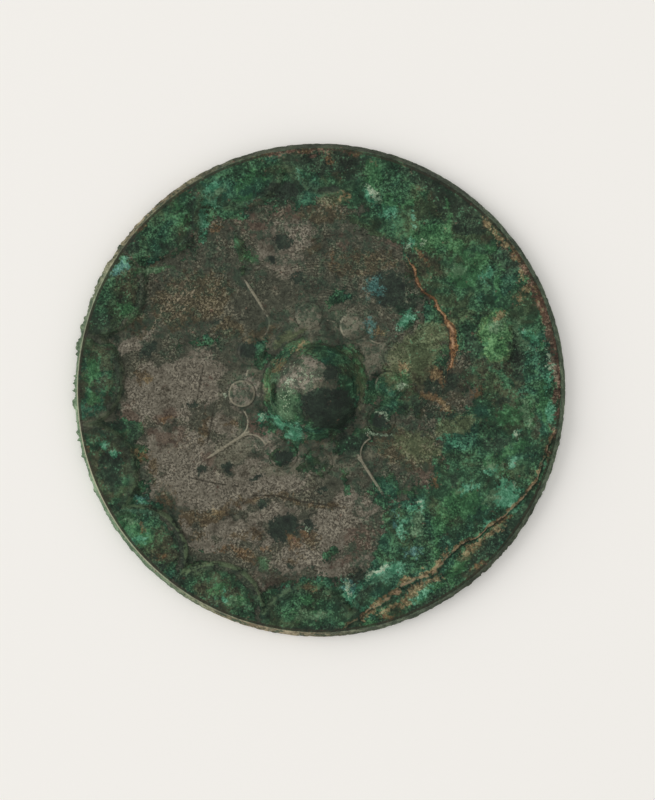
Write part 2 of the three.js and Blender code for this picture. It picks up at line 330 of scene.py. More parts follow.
# The patina's layers, the lowest first: the places of each, its dark, middle and light tones on
# a 0 to 255 screen, how rough and how metallic it is, the grain in mm and the reach of its
# broken edge, and how far it covers what is under it. A cap keeps a layer broken all over.
LAYERS = {
    "bare": dict(
        tones=((64, 60, 49), (112, 107, 94), (150, 144, 129)),
        rough=0.45, metal=0.35, edge=(4.0, 5.0), soft=0.2, cover=0.92,
        places=(
            (-38, 0, 9, 7, 0), (-30, 3, 7, 6, 20), (-33, -15, 10, 5, -10), (-24, -9, 3.6, 3.2, 0),
            (-27, -24, 13, 5, -10), (-13, -22.5, 11, 3.6, 0), (-4, -41.5, 6, 3.4, 0),
            (5, -43, 5.5, 2.2, 20), (-9.5, -29, 6, 1.9, 0), (2.5, -33, 7, 5, 0), (-9.5, 34, 6, 6, 20),
            (-4.5, 38, 2.4, 4, 0), (-44.7, 11.2, 4.6, 1.5, 32), (-13.4, -46.6, 2.2, 2.2, 0),
            (8, -28, 6, 4, 0), (-35, -36, 5, 3, 60), (-21, -34.4, 7, 3, 0), (-25, -37, 5, 2, 10),
            (-14, -30.6, 5, 2, 0), (-13, -37.4, 3, 1.8, 0), (-9, -43.5, 3, 2, 0), (-34, 25, 3, 1, 50),
            (-33, 22.4, 3.2, 0.9, 48), (-40, -22, 4, 3, 60), (-43, -3, 3, 4, 0),
            # (-4, 2.8) and (-1.5, 6) on the knob are worn metal and also a painted highlight where the lamp
            # catches the dome.
            (-18.3, -0.7, 3.6, 3.6, 0), (-14, -12, 3.4, 2.4, 0), (-4, 2.8, 5.6, 2.6, 10),
            (-1.5, 6, 3, 1.2, -20), (-10, -18, 6, 3, 0),
        ),
    ),
    "plain": dict(
        tones=((72, 70, 56), (107, 106, 90), (132, 129, 112)),
        rough=0.45, metal=0.3, edge=(1.4, 3.0), soft=0.2, cover=0.85,
        places=(
            (12, 8.5, 2.6, 4.2, -10), (7.8, 16, 3.4, 3, 30), (-2.5, 17.4, 3.4, 2.6, 0),
            (-21, -15, 5, 3, 30), (-8, -19.5, 7, 1.6, 0), (3.4, -16.6, 1.3, 1.6, 0), (15, 9, 2, 3, 0),
        ),
    ),
    "olive": dict(
        tones=((34, 31, 21), (70, 65, 46), (120, 110, 82)),
        rough=0.7, metal=0.1, edge=(2.4, 4.0), soft=0.2, cover=0.8,
        places=(
            (-31, 22, 10, 6.5, 20), (-41, 32, 2.4, 1.1, 0), (-18, 46, 3, 1.4, 20),
            (-14, 13.6, 4.2, 2, 24), (22.4, 5, 4.4, 4, 0), (38, -38.8, 5.6, 1.5, 38),
            (-1, 34.6, 1.3, 2.6, 0), (-3, -12.4, 3.6, 0.7, 0), (18, -13, 5, 4, 0), (24, -16, 6, 4, 0),
            (10, 31, 8, 3.4, 0), (-43.5, 16, 2.8, 2.2, 0), (-22, 15, 4, 2.6, 0), (27.2, 9, 2.4, 3.4, 0),
            (0, 43, 6, 2.4, 0),
        ),
    ),
    "reddish": dict(
        tones=((56, 44, 36), (88, 75, 63), (114, 99, 86)),
        rough=0.6, metal=0.15, edge=(2.6, 4.5), soft=0.25, cover=0.78,
        places=(
            (-36.6, -6.3, 2.6, 1.7, 10), (-38, -11.6, 3, 1.7, -10), (-33.8, -11.8, 1.3, 1.4, 0),
            (-45.5, -7, 2, 2.8, 20), (18, 35.6, 1.8, 0.9, -30), (-17, 39.5, 4, 2.2, 0),
            (-8, 43.6, 3.5, 1.8, -10), (5.8, 35, 1.3, 2.2, -30), (25.4, -21.6, 3, 1.6, 0),
            (22, -31.6, 2.2, 1.7, 0), (-27, -17, 2, 1.4, 0), (-14.5, -9, 3.8, 2, -15),
            (7.2, -41, 3, 0.8, 24), (11, -36, 4, 3, 0), (-6, -47, 5, 0.8, 0),
        ),
    ),
    "brown": dict(
        tones=((42, 35, 22), (78, 67, 46), (118, 105, 78)),
        rough=0.7, metal=0.05, edge=(1.3, 3.6), soft=0.2, cover=0.86,
        places=(
            (-31, -30.4, 2.6, 1.5, 10), (-26.6, -31, 2.8, 1.4, -8), (-22.4, -29.4, 2.4, 1.1, 25),
            (-18.8, -27.4, 2.2, 0.9, 35), (-15, -25.8, 2.4, 0.7, 15), (-10.6, -25.7, 2.6, 0.6, -4),
            (-6, -27, 2.8, 0.7, -14), (-1, -27.8, 2.6, 0.6, -8), (3.6, -28.2, 2.4, 0.5, -6),
            (-37, -27.4, 2.5, 2.2, 0), (-15.6, -34.6, 1.7, 1.1, 0), (-2.4, -36, 2, 2.4, 10),
            (-19, -35.6, 2.4, 0.6, 0), (-21, -8, 1.2, 1, 0), (-28.6, -35, 1.4, 0.8, 30),
            (-6, -41, 1.2, 0.6, 0), (-17.4, -40.6, 2.8, 1.1, -20), (-43, 3.4, 1.6, 1.8, 0),
            (-27.6, -9.4, 1, 3, -5), (-40, -19, 1.2, 2.6, 10),
        ),
    ),
    "film": dict(
        tones=((28, 42, 32), (46, 66, 50), (74, 100, 74)),
        rough=0.7, metal=0.0, edge=(2.0, 4.5), soft=0.15, cover=0.7, cap=0.44,
        places=(
            (2, 38, 24, 9, 0), (-22, 34, 9, 10, 0), (-30, 26, 9, 3, 0), (24, -4, 12, 20, 0),
            (20, -25, 12, 9, 0), (16, -38, 9, 6, 30), (0, 0, 21, 21, 0), (-31, 12, 12, 4, 0),
            (-33, -41, 5, 2.4, -40), (-38, 16, 9, 5, 0), (10, 24, 14, 6, 0), (-41, -26, 4, 8, 40),
            (-12, -45.6, 9, 2, 0),
        ),
    ),
    "crust": dict(
        tones=((14, 30, 21), (36, 66, 46), (80, 127, 90)),
        rough=0.88, metal=0.0, edge=(5.0, 5.0), soft=0.1, cover=0.97,
        places=(
            (-54, 2, 5.5, 8.5, 0), (-53, 21, 7, 9, -25), (-50, -16, 7.5, 8, 20), (-44, -33, 10, 6.5, -40),
            (-25, -51, 11, 7.5, -25), (-2, -53, 13, 7, 0), (-40, 41, 11, 8, 50), (-20, 51, 12, 6, 30),
            (2, 53, 12, 5, 0), (13.5, 41, 7, 3, 0), (-46.8, -12, 3.6, 4.2, 0), (-44.5, -24, 4, 3.2, -60),
            (4.6, 22.3, 2.6, 1.1, 40), (-19.2, 34, 1.3, 3.4, 10), (-19.2, 30.3, 0.8, 1.1, 0),
            (-27, 11.3, 3.6, 1.3, -5), (16.5, -24, 3.5, 3, -50), (-14, 9.6, 0.9, 3.6, -12),
            (22, 17, 4.2, 2.4, 35), (-12.4, -7.6, 2.6, 2.4, 0), (-7.4, -10.8, 3.4, 2.4, -40),
            (6.5, -13, 4.4, 2.0, 20), (-9, -16, 3.0, 2.5, 0), (-0.2, -17.2, 3.1, 2.9, 0),
            (15, -7.4, 2.8, 2.8, 0), (12.6, -1.4, 2.6, 2.2, 40), (6.4, -21.5, 0.7, 3.2, 8),
            (-28.2, -39, 0.8, 0.7, 0), (24.8, 7.4, 5, 5.5, 0), (20, -3, 5, 3, 0),
            (11, -10.5, 2.2, 3.6, -40), (3, -39.2, 1.2, 0.8, 60), (-11.8, 0, 1.4, 7, 0),
            (1, 9.4, 7, 2.6, -5), (7.6, 2, 3.6, 7.5, 10), (-7, -5.6, 4.2, 4.2, 0), (3, -6, 7, 5.5, 0),
            (-6, 10.5, 6, 1.6, 40), (16, 1, 3, 3.4, 0),
        ),
    ),
    "meadow": dict(
        tones=((48, 58, 35), (84, 94, 65), (132, 138, 104)),
        rough=0.7, metal=0.0, edge=(2.0, 3.0), soft=0.25, cover=0.75,
        places=(
            (22.5, 7, 5.5, 6.4, 0), (26.5, 12.5, 3, 3.4, -20), (20.2, 1.2, 2.5, 1.4, 0),
            (24, -13.6, 5.6, 3.4, -10), (18.4, 4, 3, 3, 0), (9.8, 3.4, 1.4, 5.4, 8),
            (-12.6, 2, 0.8, 5, -8), (33, -9, 5, 2, 20), (31, 14, 2, 3, 0), (3, 46, 3, 1, 0),
            (-8, 12.6, 4, 0.9, 28), (38.4, -38, 6, 1.1, 40), (24.6, -48.6, 4, 1, 28),
        ),
    ),
    "mound": dict(
        tones=((44, 68, 42), (84, 119, 74), (146, 178, 124)),
        rough=0.9, metal=0.0, edge=(1.2, 1.4), soft=0.12, cover=0.85,
        places=(
            (42.6, 15, 3.6, 4.2, 0), (43.4, 9.6, 3.9, 3.2, 0), (44, 12, 3.6, 5, 10),
        ),
    ),
    "earth": dict(
        tones=((34, 30, 22), (62, 58, 43), (92, 84, 64)),
        rough=0.8, metal=0.0, edge=(2.4, 5.0), soft=0.25, cover=0.6, cap=0.62,
        places=(
            (47.2, 7.6, 2.2, 5.6, 5), (50, 31, 2.4, 3.4, 30), (52.5, 24.5, 2.6, 4.2, 30),
            (47, 35, 3.4, 2.2, -40), (32, 47, 7, 3.6, -30), (41, 40, 5, 3, -45), (38, -42.5, 3.4, 1, 40),
            (29, 0, 8, 6, 10), (38, 5, 5, 4, 0), (-51, 1, 1.2, 5, 0), (-50, -17, 5, 6, 0),
            (-54, 3, 4, 7, 0), (-24, -50, 6, 4, 0), (-38, -38, 3.4, 4, 0), (8, -45.6, 3, 1.6, 0),
            (-54, -10, 3, 5, 20), (-54, -21, 2.6, 6, 25), (6, 55, 5, 3, 0), (-6, 57, 6, 1.6, 0),
            (46, -2, 4, 3, 0), (-46, 27, 3, 5, 0), (-53, 30, 2, 5, -30), (-12, -46.5, 6, 2, 0),
            (52, -8, 1.4, 3, 0), (25, 30, 4, 5, 0),
        ),
    ),
    # Broad zones of dark green crust, and in places painted shadow: the thin dark bands on the slopes of the
    # left lobes that face away from the lamp, and the patch under the inner edge of the top lobes at (-9,
    # 47.6).
    "dark_crust_and_shade": dict(
        tones=((12, 23, 16), (31, 48, 36), (62, 88, 66)),
        rough=0.75, metal=0.0, edge=(2.6, 3.6), soft=0.15, cover=0.8,
        places=(
            (-43, 24, 1.3, 5, -8), (-48.6, 2, 1.1, 8, 4), (-53, 13.4, 4, 1.3, -15),
            (-50, -8.8, 4.5, 1, -3), (-45, -11.4, 1.6, 2.3, 0), (-50, -20, 3.4, 4.6, 0),
            (-33.6, -36.5, 1.3, 6, 15), (-36.5, 34.6, 2.4, 1.2, 40), (-30.8, 42, 1, 6, -4),
            (-31.6, 35.8, 1.8, 1.5, 0), (-24, -43.9, 4.5, 0.6, -4), (-16.6, -47.4, 0.8, 3.6, 22),
            (33, -22, 1.6, 1.3, 0), (43.4, -13, 3.2, 2.2, 0), (45, -2.4, 2.2, 1.2, 0),
            (30, 1.8, 4.6, 3, 20), (35.5, 44, 7, 5, -40), (27, 51.2, 7, 2.6, -25),
            (43, 34, 3.2, 2.4, -40), (46, 30, 3, 2.4, 0), (8, 52.4, 4, 1.2, 30), (40, -38.6, 10, 1.9, 45),
            (50, -29, 8, 1.5, 55), (27, -51.4, 7, 1.4, 22), (12.5, -57, 7.5, 0.8, 10),
            (37, 9.5, 1.8, 5, 0), (48.2, 8, 1.8, 5.5, 5), (24, -4, 4, 1.6, 10), (-57, 30, 1, 10, -30),
            (-47, 36, 2, 4, 50), (1, 55.4, 10, 2.6, 0), (9, -45.6, 4, 1.2, 10), (-9, 47.6, 6, 3, 0),
            (8, -13, 4.6, 2.4, 0), (-40, -42, 3, 2, -45), (29, -5.4, 4.5, 2, -10), (-52.5, 17, 3, 2.4, 0),
            (0, -58, 12, 0.8, 0), (21, 22, 3, 5, 0),
        ),
    ),
    "dark": dict(
        tones=((12, 22, 16), (28, 41, 31), (48, 66, 51)),
        rough=0.6, metal=0.0, edge=(1.2, 1.6), soft=0.08, cover=0.97,
        places=(
            (-8.2, 36, 2.1, 1.6, -20), (-11, 31.4, 0.9, 0.9, 0), (-5.2, 27, 1.7, 1.4, 30),
            (-8.6, 48.2, 3.8, 1.7, -5), (2, 48.2, 2.2, 0.8, -10), (17, 24.6, 4.6, 4.4, 0),
            (-8.4, -33.9, 3.7, 3.6, 0), (-3, -32.9, 1.8, 1.7, 0), (-13.3, -27.1, 1.1, 1.4, 0),
            (-15.2, -21.4, 1.4, 0.7, 30), (0.8, -24.4, 1, 0.8, 0), (-21.7, -18.9, 1.3, 1.2, 0),
            (-28.6, -19.8, 1.1, 1, 0), (-41.5, 9.6, 2.4, 1.3, 25), (-30, -3, 1.1, 1, 0),
            (-17.2, 9.4, 2.1, 2.1, 0), (-8.6, -16.4, 2.4, 2, 0), (15.2, -7.4, 1.9, 2.1, 0),
            # (2.8, -4.4), the knob's lower right, is dark patina and also painted shade and a painted dark
            # reflection on the side away from the lamp.
            (2.8, -4.4, 6.6, 5.2, -8), (2.6, 4.6, 1.8, 1.8, 0), (-6.4, -42.4, 0.9, 0.7, 0),
            (-1.6, -43.4, 0.7, 0.6, 0), (-24.6, 16.6, 0.8, 0.5, 0),
        ),
    ),
    "bright": dict(
        tones=((30, 60, 38), (55, 101, 63), (100, 154, 104)),
        rough=0.9, metal=0.0, edge=(1.8, 3.4), soft=0.25, cover=0.65,
        places=(
            (-33, 41.4, 1.6, 1.5, 20), (-34.2, 44.3, 1.1, 0.9, 0), (-15.6, 51.6, 2.2, 1.3, 20),
            (-18.3, 49.5, 1.6, 1.3, 0), (-18, 46.4, 1.3, 0.9, 30), (-54.6, 4, 1.5, 2.8, 0),
            (-54, -2.4, 1.4, 2, 0), (-46.8, -32, 2.8, 2.6, -30), (-43, -35.4, 2.2, 1.3, -20),
            (-24, -48.4, 2, 1, 20), (-40, 29.4, 4.6, 0.7, 6), (-46, 19, 2.6, 1.4, -20),
            (27, 37, 4.4, 3.4, 0), (33, 35, 3, 2, 0), (38, 30, 3, 3, 0), (31.6, 40, 0.7, 5.6, 3),
            (22.8, 45.6, 1.7, 1.2, 20), (35.2, 32.5, 1, 0.9, 0), (35.2, 27.8, 3.6, 3, -20),
            (43.6, 25, 0.9, 4, -5), (41.4, 34.7, 1.5, 0.9, 15), (51.8, 12.4, 1.0, 2.8, 40),
            (43, 12.6, 3.7, 6.2, 0), (45.5, -6, 3.2, 1.8, 0), (50.4, -5.4, 1.8, 3.6, 10),
            (55, -3.2, 1.3, 5, 5), (47, -14, 4.4, 1.1, 32), (42.4, -18.6, 2.6, 1.5, -20),
            (35, -27.6, 5.4, 2.8, 0), (33, -43.4, 3.2, 1.1, 45), (27, -48.6, 5, 1.1, 28),
            (30, -31.8, 3.6, 2, 80), (28.8, -37.4, 0.8, 3.4, 0), (-6, -54.4, 1.5, 0.9, 0),
            (-2, -54.2, 1.5, 0.9, 0), (-3.6, -51, 2.2, 0.8, 0), (-19.5, -51, 2.6, 1.6, -20),
            (-13.4, -42.3, 0.7, 1.2, 20), (13, 52, 2.2, 3.4, 20), (17, 46, 2.5, 2, 0),
            (-9, 53.6, 0.6, 0.6, 0), (50, 26, 0.9, 0.8, 0), (9.6, 5.8, 0.8, 4, 22),
            (20.3, 2.6, 1.6, 1.2, -30), (-16.4, 31.6, 0.9, 0.9, 0), (20.6, -24.5, 1.6, 1, 0),
            (12.4, -56.2, 2.2, 0.5, 15), (-7.6, -4.4, 2.6, 3.6, 20), (-12.6, 2, 0.6, 4.6, 0),
        ),
    ),
    "dusty": dict(
        tones=((44, 66, 46), (80, 108, 80), (134, 158, 128)),
        rough=0.92, metal=0.0, edge=(1.2, 3.2), soft=0.2, cover=0.75,
        places=(
            (-8, -3.4, 3, 4.2, 15), (-10.4, 4.6, 1, 2.4, -25), (34, 29, 1.8, 1.2, -20),
            (-20, -51.4, 2.6, 0.8, -20), (-2.4, -54.2, 3, 1.2, 0), (43.6, 16, 2.4, 1.8, 20),
            (20.2, 1.2, 1.6, 0.9, 0), (-45.8, -31.6, 1.4, 1, -30), (-40.5, 29.6, 4, 0.8, 6),
            (-24, 48.4, 2.4, 0.8, 30), (50.4, -6, 1.4, 3, 10), (42, -19, 2, 1.2, -20),
            (43, -25, 3.4, 1.6, 40), (24, -33, 1.4, 3, 10), (-13.4, -42.3, 0.9, 1.4, 20),
            (13.6, 47, 1.8, 1.2, -40), (48.6, 13, 1, 3, 20),
        ),
    ),
    "turquoise": dict(
        tones=((32, 76, 57), (68, 128, 98), (138, 196, 168)),
        rough=0.92, metal=0.0, edge=(1.3, 3.0), soft=0.18, cover=0.8,
        places=(
            (-26.2, 48.8, 3, 0.9, 32), (-26, 45.4, 2, 1.3, 0), (-27.8, 40.6, 0.9, 3.6, -4),
            (-48.2, 30.2, 2.6, 1.2, 50), (-51.6, -13.6, 0.9, 1.2, 0), (-49, -15.6, 0.8, 0.8, 0),
            (-43, -36.2, 0.8, 0.5, 0), (-44, -29.4, 3.2, 0.6, 0), (-42.6, -26.6, 1.1, 0.6, -20),
            (-22.6, -49.8, 0.7, 0.8, 0), (17, 43.6, 1.8, 0.9, 20), (22.6, 41.8, 0.6, 1.2, 0),
            (12.6, 47.2, 1.9, 1.3, -45), (20.8, 16.6, 3, 1.2, 35), (40.6, 28, 1.3, 1.4, 0),
            (-13.2, -6.8, 1.5, 1.2, 0), (-9.6, -7.8, 3, 1.2, -28), (-6.4, -10.4, 1.9, 1.6, 0),
            (45.6, -26.6, 3.4, 2, 40), (41, -31.8, 1.3, 0.7, 30), (44.5, -23.8, 2.2, 2.5, 0),
            (7.5, -49, 1.1, 3.2, 32), (10.6, -52.4, 1.2, 0.6, 20), (13, -45.6, 3.9, 1.3, 38),
            (18, -42.4, 1.4, 0.9, 0), (56.2, 3, 0.8, 2.2, -15), (56.6, -5.4, 0.8, 3, 8),
            (33, -12.4, 1.6, 0.6, -35), (24.2, -28.2, 0.8, 0.8, 0), (22.4, -29.2, 0.9, 0.6, 0),
            (47.4, -10.3, 0.7, 0.7, 0), (36, -24, 1.6, 0.8, 40), (47, -17, 1.6, 0.8, 50),
            (41.6, -19.6, 1.1, 0.6, 0), (25, -49.3, 2.8, 1.2, 24), (22.2, 35.1, 0.5, 0.8, 0),
            (-4.6, 52, 0.5, 0.9, 0), (51.6, 12.6, 0.8, 2.2, 45), (18, -44, 3, 1.6, 40),
            (20.5, -34, 1.1, 2, 0), (46.6, -29.6, 1.6, 0.8, 30),
        ),
    ),
    "rust": dict(
        tones=((58, 46, 32), (98, 77, 52), (150, 122, 86)),
        rough=0.85, metal=0.0, edge=(1.0, 2.4), soft=0.15, cover=0.76,
        places=(
            (-25.2, 39.4, 1.2, 0.7, 20), (3, 56.4, 1.1, 0.7, -60), (-12.8, 56.9, 2.2, 0.6, 10),
            (-3, 58.2, 1.9, 0.5, 0), (8.6, 58, 0.9, 0.5, 0), (3.4, 44.6, 0.4, 0.3, 0),
            (3.4, 32.2, 0.4, 0.9, 0), (25, 32.8, 0.5, 1.9, 42), (28.6, 3.4, 1.0, 2.3, 20),
            (26, -1.4, 1.3, 0.6, -20), (29, -2.6, 1.9, 0.8, -40), (31.2, -4.4, 0.8, 1, 30),
            (38.2, -0.9, 1.3, 0.8, 30), (31.8, 6.4, 0.9, 1.2, 0), (48.3, 32.3, 0.9, 2.4, 35),
            (53.4, 21.4, 0.9, 3.6, 25), (-42.9, -16.6, 0.9, 0.8, 0), (-6, -37.2, 1.1, 1.7, 30),
            (-4, -35, 0.8, 0.9, 0), (-13.4, -38.6, 1.4, 0.6, -10), (-19.4, -39.2, 1.7, 0.8, -10),
            (-17.6, -40.4, 1.2, 0.5, 0), (-23.2, -38.5, 1.4, 0.7, 20), (-56.6, -14.6, 0.5, 0.7, 0),
            (-43.6, 38.8, 1.7, 0.5, 48), (-33, 48, 1.3, 0.4, 38), (43.4, -32, 2.1, 0.7, 22),
            (16.2, -54.7, 1.1, 0.8, 0), (20.2, -51.4, 0.7, 0.8, 0), (-2.8, -48.1, 1.7, 0.6, -10),
            (38.3, -41.8, 1.6, 0.5, 40), (-38, -40.4, 0.7, 0.4, 0), (-43, -33.4, 0.3, 0.9, 0),
            (55.4, -16, 0.3, 0.9, 20), (-36.8, -6.5, 1.4, 0.8, 20), (28, -22, 0.8, 1.2, 0),
        ),
    ),
    "tan": dict(
        tones=((72, 64, 44), (122, 106, 76), (184, 166, 128)),
        rough=0.88, metal=0.0, edge=(1.0, 2.6), soft=0.15, cover=0.8,
        places=(
            (41, 40.6, 1.3, 1, -30), (43.6, 38.2, 1.5, 0.9, -45), (45.4, 35.6, 1.5, 0.6, 10),
            (49.8, 28.6, 0.6, 2.2, -10), (50.6, 24, 1.2, 0.6, 30), (48.3, 21.6, 0.7, 0.6, 0),
            (47.6, 34.4, 1.3, 0.5, -40), (14.4, 13.9, 0.9, 0.6, -30), (-9.9, 6.2, 0.9, 1.4, -30),
            (-5.2, 10.4, 1.8, 0.45, 38), (6.2, 47.2, 0.5, 0.25, -30), (4.9, 46.2, 0.4, 0.5, 0),
            (23.6, -48, 3.2, 0.8, 30), (37.4, -37.6, 3, 0.7, 40), (17, -52.4, 2.4, 0.4, 32),
            (42.2, -34.6, 2.2, 0.8, 30), (12, -54, 2.4, 0.6, 32), (29, -42, 0.5, 2, -25),
            (-12.5, -58.6, 3, 0.6, -12), (0, -59.2, 6, 0.35, 0), (-41.4, 2.6, 0.8, 1, 0),
            (-24.4, -29.6, 1.3, 1, 0), (-44.6, -15.5, 0.5, 0.7, 0), (43.8, 17.6, 1.1, 0.7, 40),
            (21, -51, 1.2, 0.9, 0), (28.3, -45.6, 1.5, 0.6, 20), (28.3, 3.8, 0.7, 1.7, 15),
            (29.8, -3, 1.3, 0.35, -42), (31.4, -4.5, 0.5, 0.7, 30), (26, -1.3, 0.9, 0.35, -10),
            (21, 6, 0.9, 1.1, 0),
        ),
    ),
    "blue": dict(
        tones=((34, 64, 58), (62, 104, 98), (122, 166, 158)),
        rough=0.85, metal=0.0, edge=(1.2, 4.0), soft=0.25, cover=0.8,
        places=(
            (13.2, 25, 2.1, 1.3, 40), (15, 23.4, 0.8, 0.6, 0), (12.4, 15.8, 0.9, 1.7, 0),
            (22.6, -39, 1.5, 1, 0), (18.2, -31.8, 0.5, 0.9, 0), (7.4, -47.4, 1.1, 0.9, 0),
            (-43, -26.2, 0.6, 0.4, 0), (-48.4, 29.6, 1.4, 0.8, 50),
        ),
    ),
    "chalk": dict(
        tones=((100, 122, 100), (152, 170, 144), (200, 208, 186)),
        rough=0.92, metal=0.0, edge=(0.7, 2.4), soft=0.12, cover=0.82,
        places=(
            (13.4, 48, 2.3, 0.8, -45), (55.9, 8, 0.5, 1.7, 22), (56.3, 5.6, 0.6, 0.5, 0),
            (47.4, -10.3, 0.5, 0.5, 0), (24.2, -28.1, 0.5, 0.5, 0), (22.2, 34.9, 0.3, 0.5, 0),
            (14.6, -43.8, 1.4, 0.5, 30), (12.2, -44.8, 1.1, 0.5, 60), (-13.4, -6.6, 0.4, 0.4, 0),
            (15.4, -5.3, 0.7, 0.3, -20), (16.8, -6.3, 0.25, 0.5, 30), (14.4, -10.9, 1.4, 0.22, -4),
            (12.7, -10.2, 0.3, 0.7, 40), (20.2, 1.1, 0.8, 0.5, 20), (-7.7, 1.9, 0.7, 0.4, 40),
            (-22.3, -1.4, 0.3, 0.3, 0), (25, 35.6, 0.25, 0.25, 0), (-3, -33.1, 0.22, 0.22, 0),
            (7.2, -47.8, 0.5, 1.4, 20),
        ),
    ),
}

# Finer traces: metal that is scratched aslant, metal that still shows fine rings from turning,
# the knob's speckle of pale crust, and where the low relief's edges show light, as worn metal and as a
# painted highlight
TRACES = {
    "hatched": (
        (-35, 22, 4.4, 5.4, -10), (-23, 17, 3.4, 3, 0), (-33, -13, 4, 3, 0), (-38, -24, 3, 2, 0),
    ),
    "turned": (
        (13, 27, 9, 4.6, -20), (4, 22, 6, 2, -6), (-5, 30, 8, 4, 8), (17, 34, 4, 2, -30),
        (14, 20, 5, 2, -30),
    ),
    "flecked": (
        (-8, -2, 2.6, 4.4, 10), (-3.6, 2.6, 5, 2.2, 8), (-6.6, -8, 3, 2, -30), (-7, 5.4, 2.6, 2, 30),
    ),
    "clear": (
        (-19, -12, 9, 5, 25), (-18.3, -0.7, 4.4, 4.4, 0), (13, -17, 3, 9, 25), (-16, 22, 1.8, 7, 24),
        (13.4, 8, 2, 5, 0), (-24, -16, 6, 2, 30), (4.6, 17, 1.2, 3, 20),
    ),
}

# Crust that stands up from what is under it: its thickness, and its level against its roughness
RAISED = {"turquoise": (0.3, 0.6), "rust": (0.14, 0.5), "tan": (0.14, 0.5)}
CRUST_T = 0.14
CRUST_GRAIN = 0.11
CRUST_LUMPS = 0.12
BRIGHT_T = 0.13
SUNK_T = 0.14  # how much thinner the crust is where it is dark
CHALK_T = 0.15
MOUND_RISE = 0.65
MOUND_SWELL = 0.3
RIDGE_T = 0.26
FLAP_T = 0.42
FURROW = 0.25  # how deep the furrow beside the ridge is
FLAP_FURROW = 0.18
SCORE_DEPTH = 0.07


def side_crust(x, y):
    """How far outside the crust's inner edge a place is, where it reaches in from the rim."""
    bearing = np.degrees(np.arctan2(y, x))
    at, edge = zip(*sorted((turned_off(b, 0), r) for b, r in CRUST_EDGE))
    depth = np.hypot(x, y) - np.interp(bearing, at, edge, period=360)
    return np.where((bearing > CRUST_STOPS) | (bearing < CRUST_STARTS), FAR_OUT, depth)


def buried(x, y):
    """How far the crust has buried the rim's arcs, by the camera's bearing."""
    bearing = np.degrees(np.arctan2(y, x)) + 6 * cloud(x, y, 9, 7)
    right = ramp(bearing, -78, -62) * ramp(bearing, 92, 70)
    top = ramp(bearing, 60, 90) * ramp(bearing, 150, 120)
    return 0.22 + 0.70 * right + 0.22 * top + around(bearing, (268, 9, 0.4))


def corrosion(x, y):
    """Every mask of the patina at places in the mirror's own axes."""
    px, py = seen(x, y)
    wx, wy = px + WANDER * cloud(x, y, 5, 3, 4, 0.6), py + WANDER * cloud(x, y, 5, 4, 4, 0.6)
    masks = {}
    for name, layer in LAYERS.items():
        masks[name] = np.minimum(oval(wx, wy, layer["places"]), layer.get("cap", np.inf))
    rim = 0.5 + (arc_depth(x, y) - 1.3 + 0.3 * cloud(x, y, 4, 6)) / (0.7 * SOFT)
    side = 0.5 + (side_crust(wx, wy) + 1.5 * cloud(x, y, 9, 5)) / (3 * SOFT)
    masks["crust"] = np.maximum.reduce([masks["crust"], rim, side])
    for name, places in TRACES.items():
        masks[name] = oval(wx, wy, places)
    masks["crack"] = beside(wx, wy, CRACK) / (0.42 + 0.75 * ramp(wy, 18, 15) * ramp(wy, 6, 10))
    masks["flap"] = beside(wx, wy, FLAP) / (0.6 + 0.7 * hump(wx, 21, 9))
    masks["score"] = nearest(px + 0.15 * cloud(x, y, 3, 8), py, SCORES)
    masks["scratch"] = nearest(px + 0.3 * cloud(x, y, 2, 9), py, SCRATCHES)
    return masks


def crust_thickness(masks, grain, lumps):
    """How far the crust stands on the metal, from its masks and its own relief."""
    crust = ramp(masks["crust"], 0.3, 0.8)
    thick = crust * (CRUST_T + CRUST_GRAIN * grain + CRUST_LUMPS * lumps)
    thick = thick + crust * ramp(masks["bright"], 0.4, 0.9) * (BRIGHT_T + 0.10 * grain)
    thick = thick - crust * SUNK_T * ramp(np.maximum(masks["dark"], masks["dark_crust_and_shade"]), 0.4, 0.8)
    for name, (rise, level) in RAISED.items():
        thick = thick + rise * ramp(masks[name], 0.45, 0.8) * (level + 0.9 * grain)
    thick = thick + CHALK_T * ramp(masks["chalk"], 0.45, 0.7)
    mound = masks["mound"]
    thick = thick + MOUND_RISE * ramp(mound, 0.42, 0.56) + MOUND_SWELL * ramp(mound, 0.6, 1.6)
    thick = thick + 0.32 * grain * ramp(mound, 0.5, 0.8)
    crack = masks["crack"]
    thick = thick + (RIDGE_T + 0.16 * grain) * hump(crack, 0.15, 0.7) - FURROW * hump(crack, -1, 0.5)
    flap = masks["flap"]
    thick = thick + FLAP_T * ramp(flap, -0.2, 0.15) * ramp(flap, 10, 2)
    thick = thick + (0.08 + 0.14 * grain) * hump(flap, 0.5, 0.7) - FLAP_FURROW * hump(flap, -0.7, 0.5)
    return thick - SCORE_DEPTH * hump(masks["score"], 0, 0.25)


def corroded_height(x, y):
    """The back as it is now: the casting, its worn metal and the crust that stands on it."""
    z = cast_height(x, y)
    px, py = seen(x, y)
    r = np.hypot(x, y)
    grain = cloud(x, y, 1.5, 11, octaves=3, fade=0.7)
    lumps = cloud(x, y, 5, 12, octaves=3)
    inner_z, outer_z = FIELD_Z + 0.45, RIM_Z - 0.2
    filled = inner_z + (outer_z - inner_z) * ramp(r + 2 * lumps, 33, 56)
    z = z + (filled - z) * buried(px, py) * ramp(r, 31, 38)
    z = z - (RIM_Z - WALL_TOP_Z) * ramp(r, DISC_R - WALL_LEAN - 1.0, DISC_R - WALL_LEAN)
    z = z + 0.035 * cloud(x, y, 14, 13) + 0.014 * grain
    thick = crust_thickness(corrosion(x, y), grain, lumps)
    on_knob = ramp(np.hypot(x - KNOB_X, y - KNOB_Y), KNOB_R + 0.5, KNOB_R - 1)
    return np.minimum(z + thick * (1 - 0.5 * on_knob), KNOB_TOP_Z - 0.02)


# ---------------------------------------------------------------------------------------------
# The skin of the casting: rings over the back, down the leaning wall and under the polished
# face. Points near the relief's edges are drawn onto them, so that edges stay crisp.
# ---------------------------------------------------------------------------------------------
WALL_STEPS = 9
